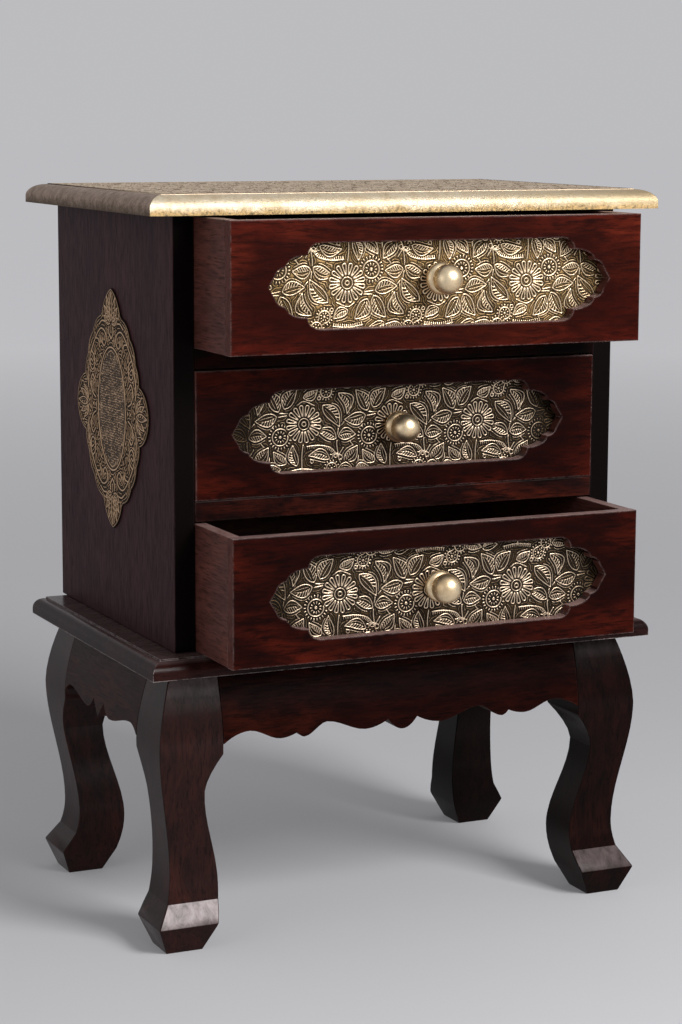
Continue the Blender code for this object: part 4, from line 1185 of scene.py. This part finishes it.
def dress_edges(materials):
    """Four mitred brass strips, beaten over the top's moulded edge."""
    low, high = edge_box()
    middle, half = (low + high) / 2, (high - low) / 2
    outside, inside = edge_section(EDGE_RUN, high.z - low.z - EDGE_FILLET, EDGE_SHEET)
    section = outside + inside
    for turns, side in enumerate(SIDES):
        half_long, half_away = (half.x, half.y) if turns % 2 == 0 else (half.y, half.x)
        spin = Matrix.Rotation(turns * math.pi / 2, 4, "Z")
        spin = Matrix.Translation((middle.x, middle.y, low.z)) @ spin
        rings = []
        for station in np.linspace(-1.0, 1.0, round(2 * half_long / EDGE_STATION)):
            points = []
            for index, (inset, height) in enumerate(section):
                along = station * (half_long - EDGE_GAP - inset)
                sink = EDGE_DENT * dent(along, inset, height) if index < len(outside) else 0.0
                points.append(spin @ Vector((along, inset + sink - half_away, height - 0.5 * sink)))
            rings.append(points)
        mesh = tube("brass_strip_" + side, rings, STRIP_SHARP)
        link_piece(mesh.name, mesh, "cabinet", "bright_brass", materials[side], "brass_edge_" + side)


# Knob profile, as in the CAD, with a finer turn
KNOB_NECK = (6.8 * MM, 2.8 * MM)
KNOB_REAR = (13.1 * MM, 6.5 * MM)
KNOB_GROOVE = 9.5 * MM
KNOB_FRONT = (12.1 * MM, 11.5 * MM)
KNOB_STEPS = 18
KNOB_TURNS = 72
KNOB_SHARP = 45.0


def knob_profile():
    """Radius and height of the knob's two beads and neck, from its tip to its foot."""
    rear_middle = KNOB_NECK[1] + KNOB_REAR[1] * math.sqrt(1 - (KNOB_NECK[0] / KNOB_REAR[0]) ** 2)
    waist = rear_middle + KNOB_REAR[1] * math.sqrt(1 - (KNOB_GROOVE / KNOB_REAR[0]) ** 2)
    front_middle = waist + KNOB_FRONT[1] * math.sqrt(1 - (KNOB_GROOVE / KNOB_FRONT[0]) ** 2)
    profile = []
    for (radius, half), middle, start, end in (
            (KNOB_FRONT, front_middle, 0.0, math.pi - math.asin(KNOB_GROOVE / KNOB_FRONT[0])),
            (KNOB_REAR, rear_middle, math.asin(KNOB_GROOVE / KNOB_REAR[0]),
             math.pi - math.asin(KNOB_NECK[0] / KNOB_REAR[0]))):
        for angle in np.linspace(start, end, KNOB_STEPS):
            profile.append((radius * math.sin(angle), middle + half * math.cos(angle)))
    return profile + [(KNOB_NECK[0], 0.0)]


def dress_knobs(material):
    """Turned knobs, round enough for a polish."""
    profile = knob_profile()
    for drawer in DRAWERS:
        low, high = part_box(drawer + "_knob")
        middle = (low + high) / 2
        rings = []
        for radius, height in profile[1:]:
            turned = ring((middle.x, middle.z), radius, KNOB_TURNS)[:-1]
            rings.append([(x, high.y - height, z) for x, z in turned])
        tip = (middle.x, high.y - profile[0][1], middle.z)
        mesh = tube(drawer + "_turned_knob", rings, KNOB_SHARP, tip)
        link_piece(mesh.name, mesh, drawer, "bright_brass", material, drawer + "_knob")


# Embossed brasses: colours of hollows, ground and ridges, and roughness of the ridges
RELIEF_LOOKS = {
    "old_brass_dark": ((0.009, 0.006, 0.004), (0.095, 0.060, 0.031), (0.72, 0.565, 0.410), 0.33),
    "old_brass_pale": ((0.028, 0.017, 0.008), (0.38, 0.240, 0.100), (0.92, 0.735, 0.510), 0.36),
    "top_brass": ((0.050, 0.032, 0.018), (0.40, 0.272, 0.167), (0.95, 0.77, 0.57), 0.38),
    "medallion_brass": ((0.014, 0.009, 0.005), (0.092, 0.055, 0.030), (0.71, 0.483, 0.306), 0.42),
}
# Smooth brasses: dull and bright colours, roughness, mottle, and the clouds' scale on the strips
EDGE_LOOKS = ((0.74, 0.59, 0.39), (0.92, 0.80, 0.60), 0.50, 0.65, 70.0)
# The side and back strips are painted darker than the front one: painted shade, the same brass in less light
SHADED_EDGE_LOOKS = ((0.21, 0.145, 0.100), (0.42, 0.310, 0.240), 0.50, 0.70, 130.0)
KNOB_LOOKS = ((0.66, 0.46, 0.25), (0.92, 0.76, 0.52), 0.38, 0.06)
# A strip's dark foot, on the front strip a painted reflection of the surroundings below: heights above its
# lowest place and colour
FRONT_FOOT_REFLECTION = (1.5 * MM, 5.5 * MM, (0.62, 0.42, 0.19))
SHADED_EDGE_FOOT = (0.5 * MM, 8.0 * MM, (0.11, 0.064, 0.031))
# Places along the front strip between which it turns duller, and the dull colour
FRONT_DIMMING = (40.0 * MM, 224.0 * MM, (0.58, 0.45, 0.27))
# Dark and light colours, and roughness
STEEL_LOOKS = ((0.30, 0.29, 0.28), (0.55, 0.54, 0.52), 0.3)


def dress_brass():
    """All brass pieces, and the knobs' screws."""
    tile = floral_tile(TILE_PITCH)
    brasses = {name: brass_relief(name, *looks) for name, looks in RELIEF_LOOKS.items()}
    dress_plates(tile, brasses)
    dress_top_sheet(tile, brasses["top_brass"])
    dress_medallions(brasses["medallion_brass"])
    lowest = edge_box()[0].z
    feet = [(lowest + low, lowest + high, colour) for low, high, colour in (FRONT_FOOT_REFLECTION, SHADED_EDGE_FOOT)]
    # The three strips other than the front get the painted-shade brass
    dull = brass_smooth("edge_brass_shaded", *SHADED_EDGE_LOOKS, feet[1])
    strips = dict.fromkeys(SIDES, dull)
    strips["front"] = brass_smooth("edge_brass", *EDGE_LOOKS, feet[0], FRONT_DIMMING)
    dress_edges(strips)
    dress_knobs(brass_smooth("knob_brass", *KNOB_LOOKS))
    steel = plain_metal("screw_steel", *STEEL_LOOKS)
    for drawer in DRAWERS:
        paint(drawer + "_knob_screw", steel)


def make_camera():
    """The photograph's view."""
    level = math.cos(CAMERA_PITCH)
    back = Vector((-math.sin(CAMERA_YAW) * level, -math.cos(CAMERA_YAW) * level, math.sin(CAMERA_PITCH)))
    right = Vector((0.0, 0.0, 1.0)).cross(back).normalized()
    up = back.cross(right)
    turn = Matrix((right, up, back)).transposed().to_4x4()
    camera = bpy.data.objects.new("camera", bpy.data.cameras.new("camera"))
    camera.matrix_world = Matrix.Translation(CAMERA_PLACE) @ turn @ Matrix.Rotation(CAMERA_ROLL, 4, "Z")
    camera.data.sensor_width = SENSOR
    camera.data.lens = CAMERA_LENS
    bpy.context.scene.collection.objects.link(camera)
    bpy.context.scene.camera = camera


def seen_ray(tree):
    """1 for rays from the camera, or from it by a mirror or through glass, and 0 for light on the object."""
    path = tree.nodes.new("ShaderNodeLightPath")
    seen = path.outputs["Is Camera Ray"]
    for ray in ("Is Glossy Ray", "Is Transmission Ray"):
        more = tree.nodes.new("ShaderNodeMath")
        more.operation = "MAXIMUM"
        tree.links.new(seen, more.inputs[0])
        tree.links.new(path.outputs[ray], more.inputs[1])
        seen = more.outputs["Value"]
    return seen


def soft_box(name, place, aim, size, watts):
    lamp = bpy.data.objects.new(name, bpy.data.lights.new(name, "AREA"))
    lamp.data.size = size
    lamp.data.energy = watts
    lamp.location = place
    lamp.rotation_euler = (aim - place).to_track_quat("-Z", "Y").to_euler()
    bpy.context.scene.collection.objects.link(lamp)


def make_studio():
    """Pale floor, soft boxes and an even grey room."""
    bm = bmesh.new()
    bmesh.ops.create_circle(bm, cap_ends=True, segments=FLOOR_CORNERS, radius=FLOOR_RADIUS)
    mesh = bpy.data.meshes.new("studio_floor")
    bm.to_mesh(mesh)
    bm.free()
    floor = bpy.data.objects.new("studio_floor", mesh)
    bpy.context.scene.collection.objects.link(floor)
    n = Nodes("floor_paper")
    clouds = n.noise(n.place(), *FLOOR_CLOUDS)
    paper = n.mix(clouds, shaded(FLOOR_COLOUR, FLOOR_SHADE), FLOOR_COLOUR)
    away = n.vector("LENGTH", n.place())
    fade = n.range(away, *FLOOR_FADE, FLOOR_GLOW, BACKDROP - ROOM_LIGHT * FLOOR_COLOUR[0])
    glow = n.math("MULTIPLY", fade, seen_ray(n.tree))
    n.set(Base_Color=paper, Roughness=FLOOR_ROUGHNESS, Emission_Color=ROOM_COLOUR, Emission_Strength=glow)
    n.shader.inputs["Specular IOR Level"].default_value = 0.0
    mesh.materials.append(n.material)
    soft_box("key_box", KEY_AIM + KEY_FROM.normalized() * KEY_AWAY, KEY_AIM, KEY_SIZE, KEY_WATTS)
    soft_box("low_box", KEY_AIM + LOW_FROM.normalized() * LOW_AWAY, KEY_AIM, LOW_SIZE, LOW_WATTS)
    soft_box("fill_box", FILL_PLACE, KEY_AIM, FILL_SIZE, FILL_WATTS)
    world = bpy.data.worlds.new("room")
    world.use_nodes = True
    background = world.node_tree.nodes["Background"]
    background.inputs["Color"].default_value = (*ROOM_COLOUR, 1.0)
    strength = world.node_tree.nodes.new("ShaderNodeMapRange")
    strength.inputs["To Min"].default_value = ROOM_LIGHT
    strength.inputs["To Max"].default_value = BACKDROP
    world.node_tree.links.new(seen_ray(world.node_tree), strength.inputs["Value"])
    world.node_tree.links.new(strength.outputs["Result"], background.inputs["Strength"])
    bpy.context.scene.world = world
    bpy.context.scene.view_settings.view_transform = "Standard"


make_camera()
make_studio()
dress_wood()
dress_brass()
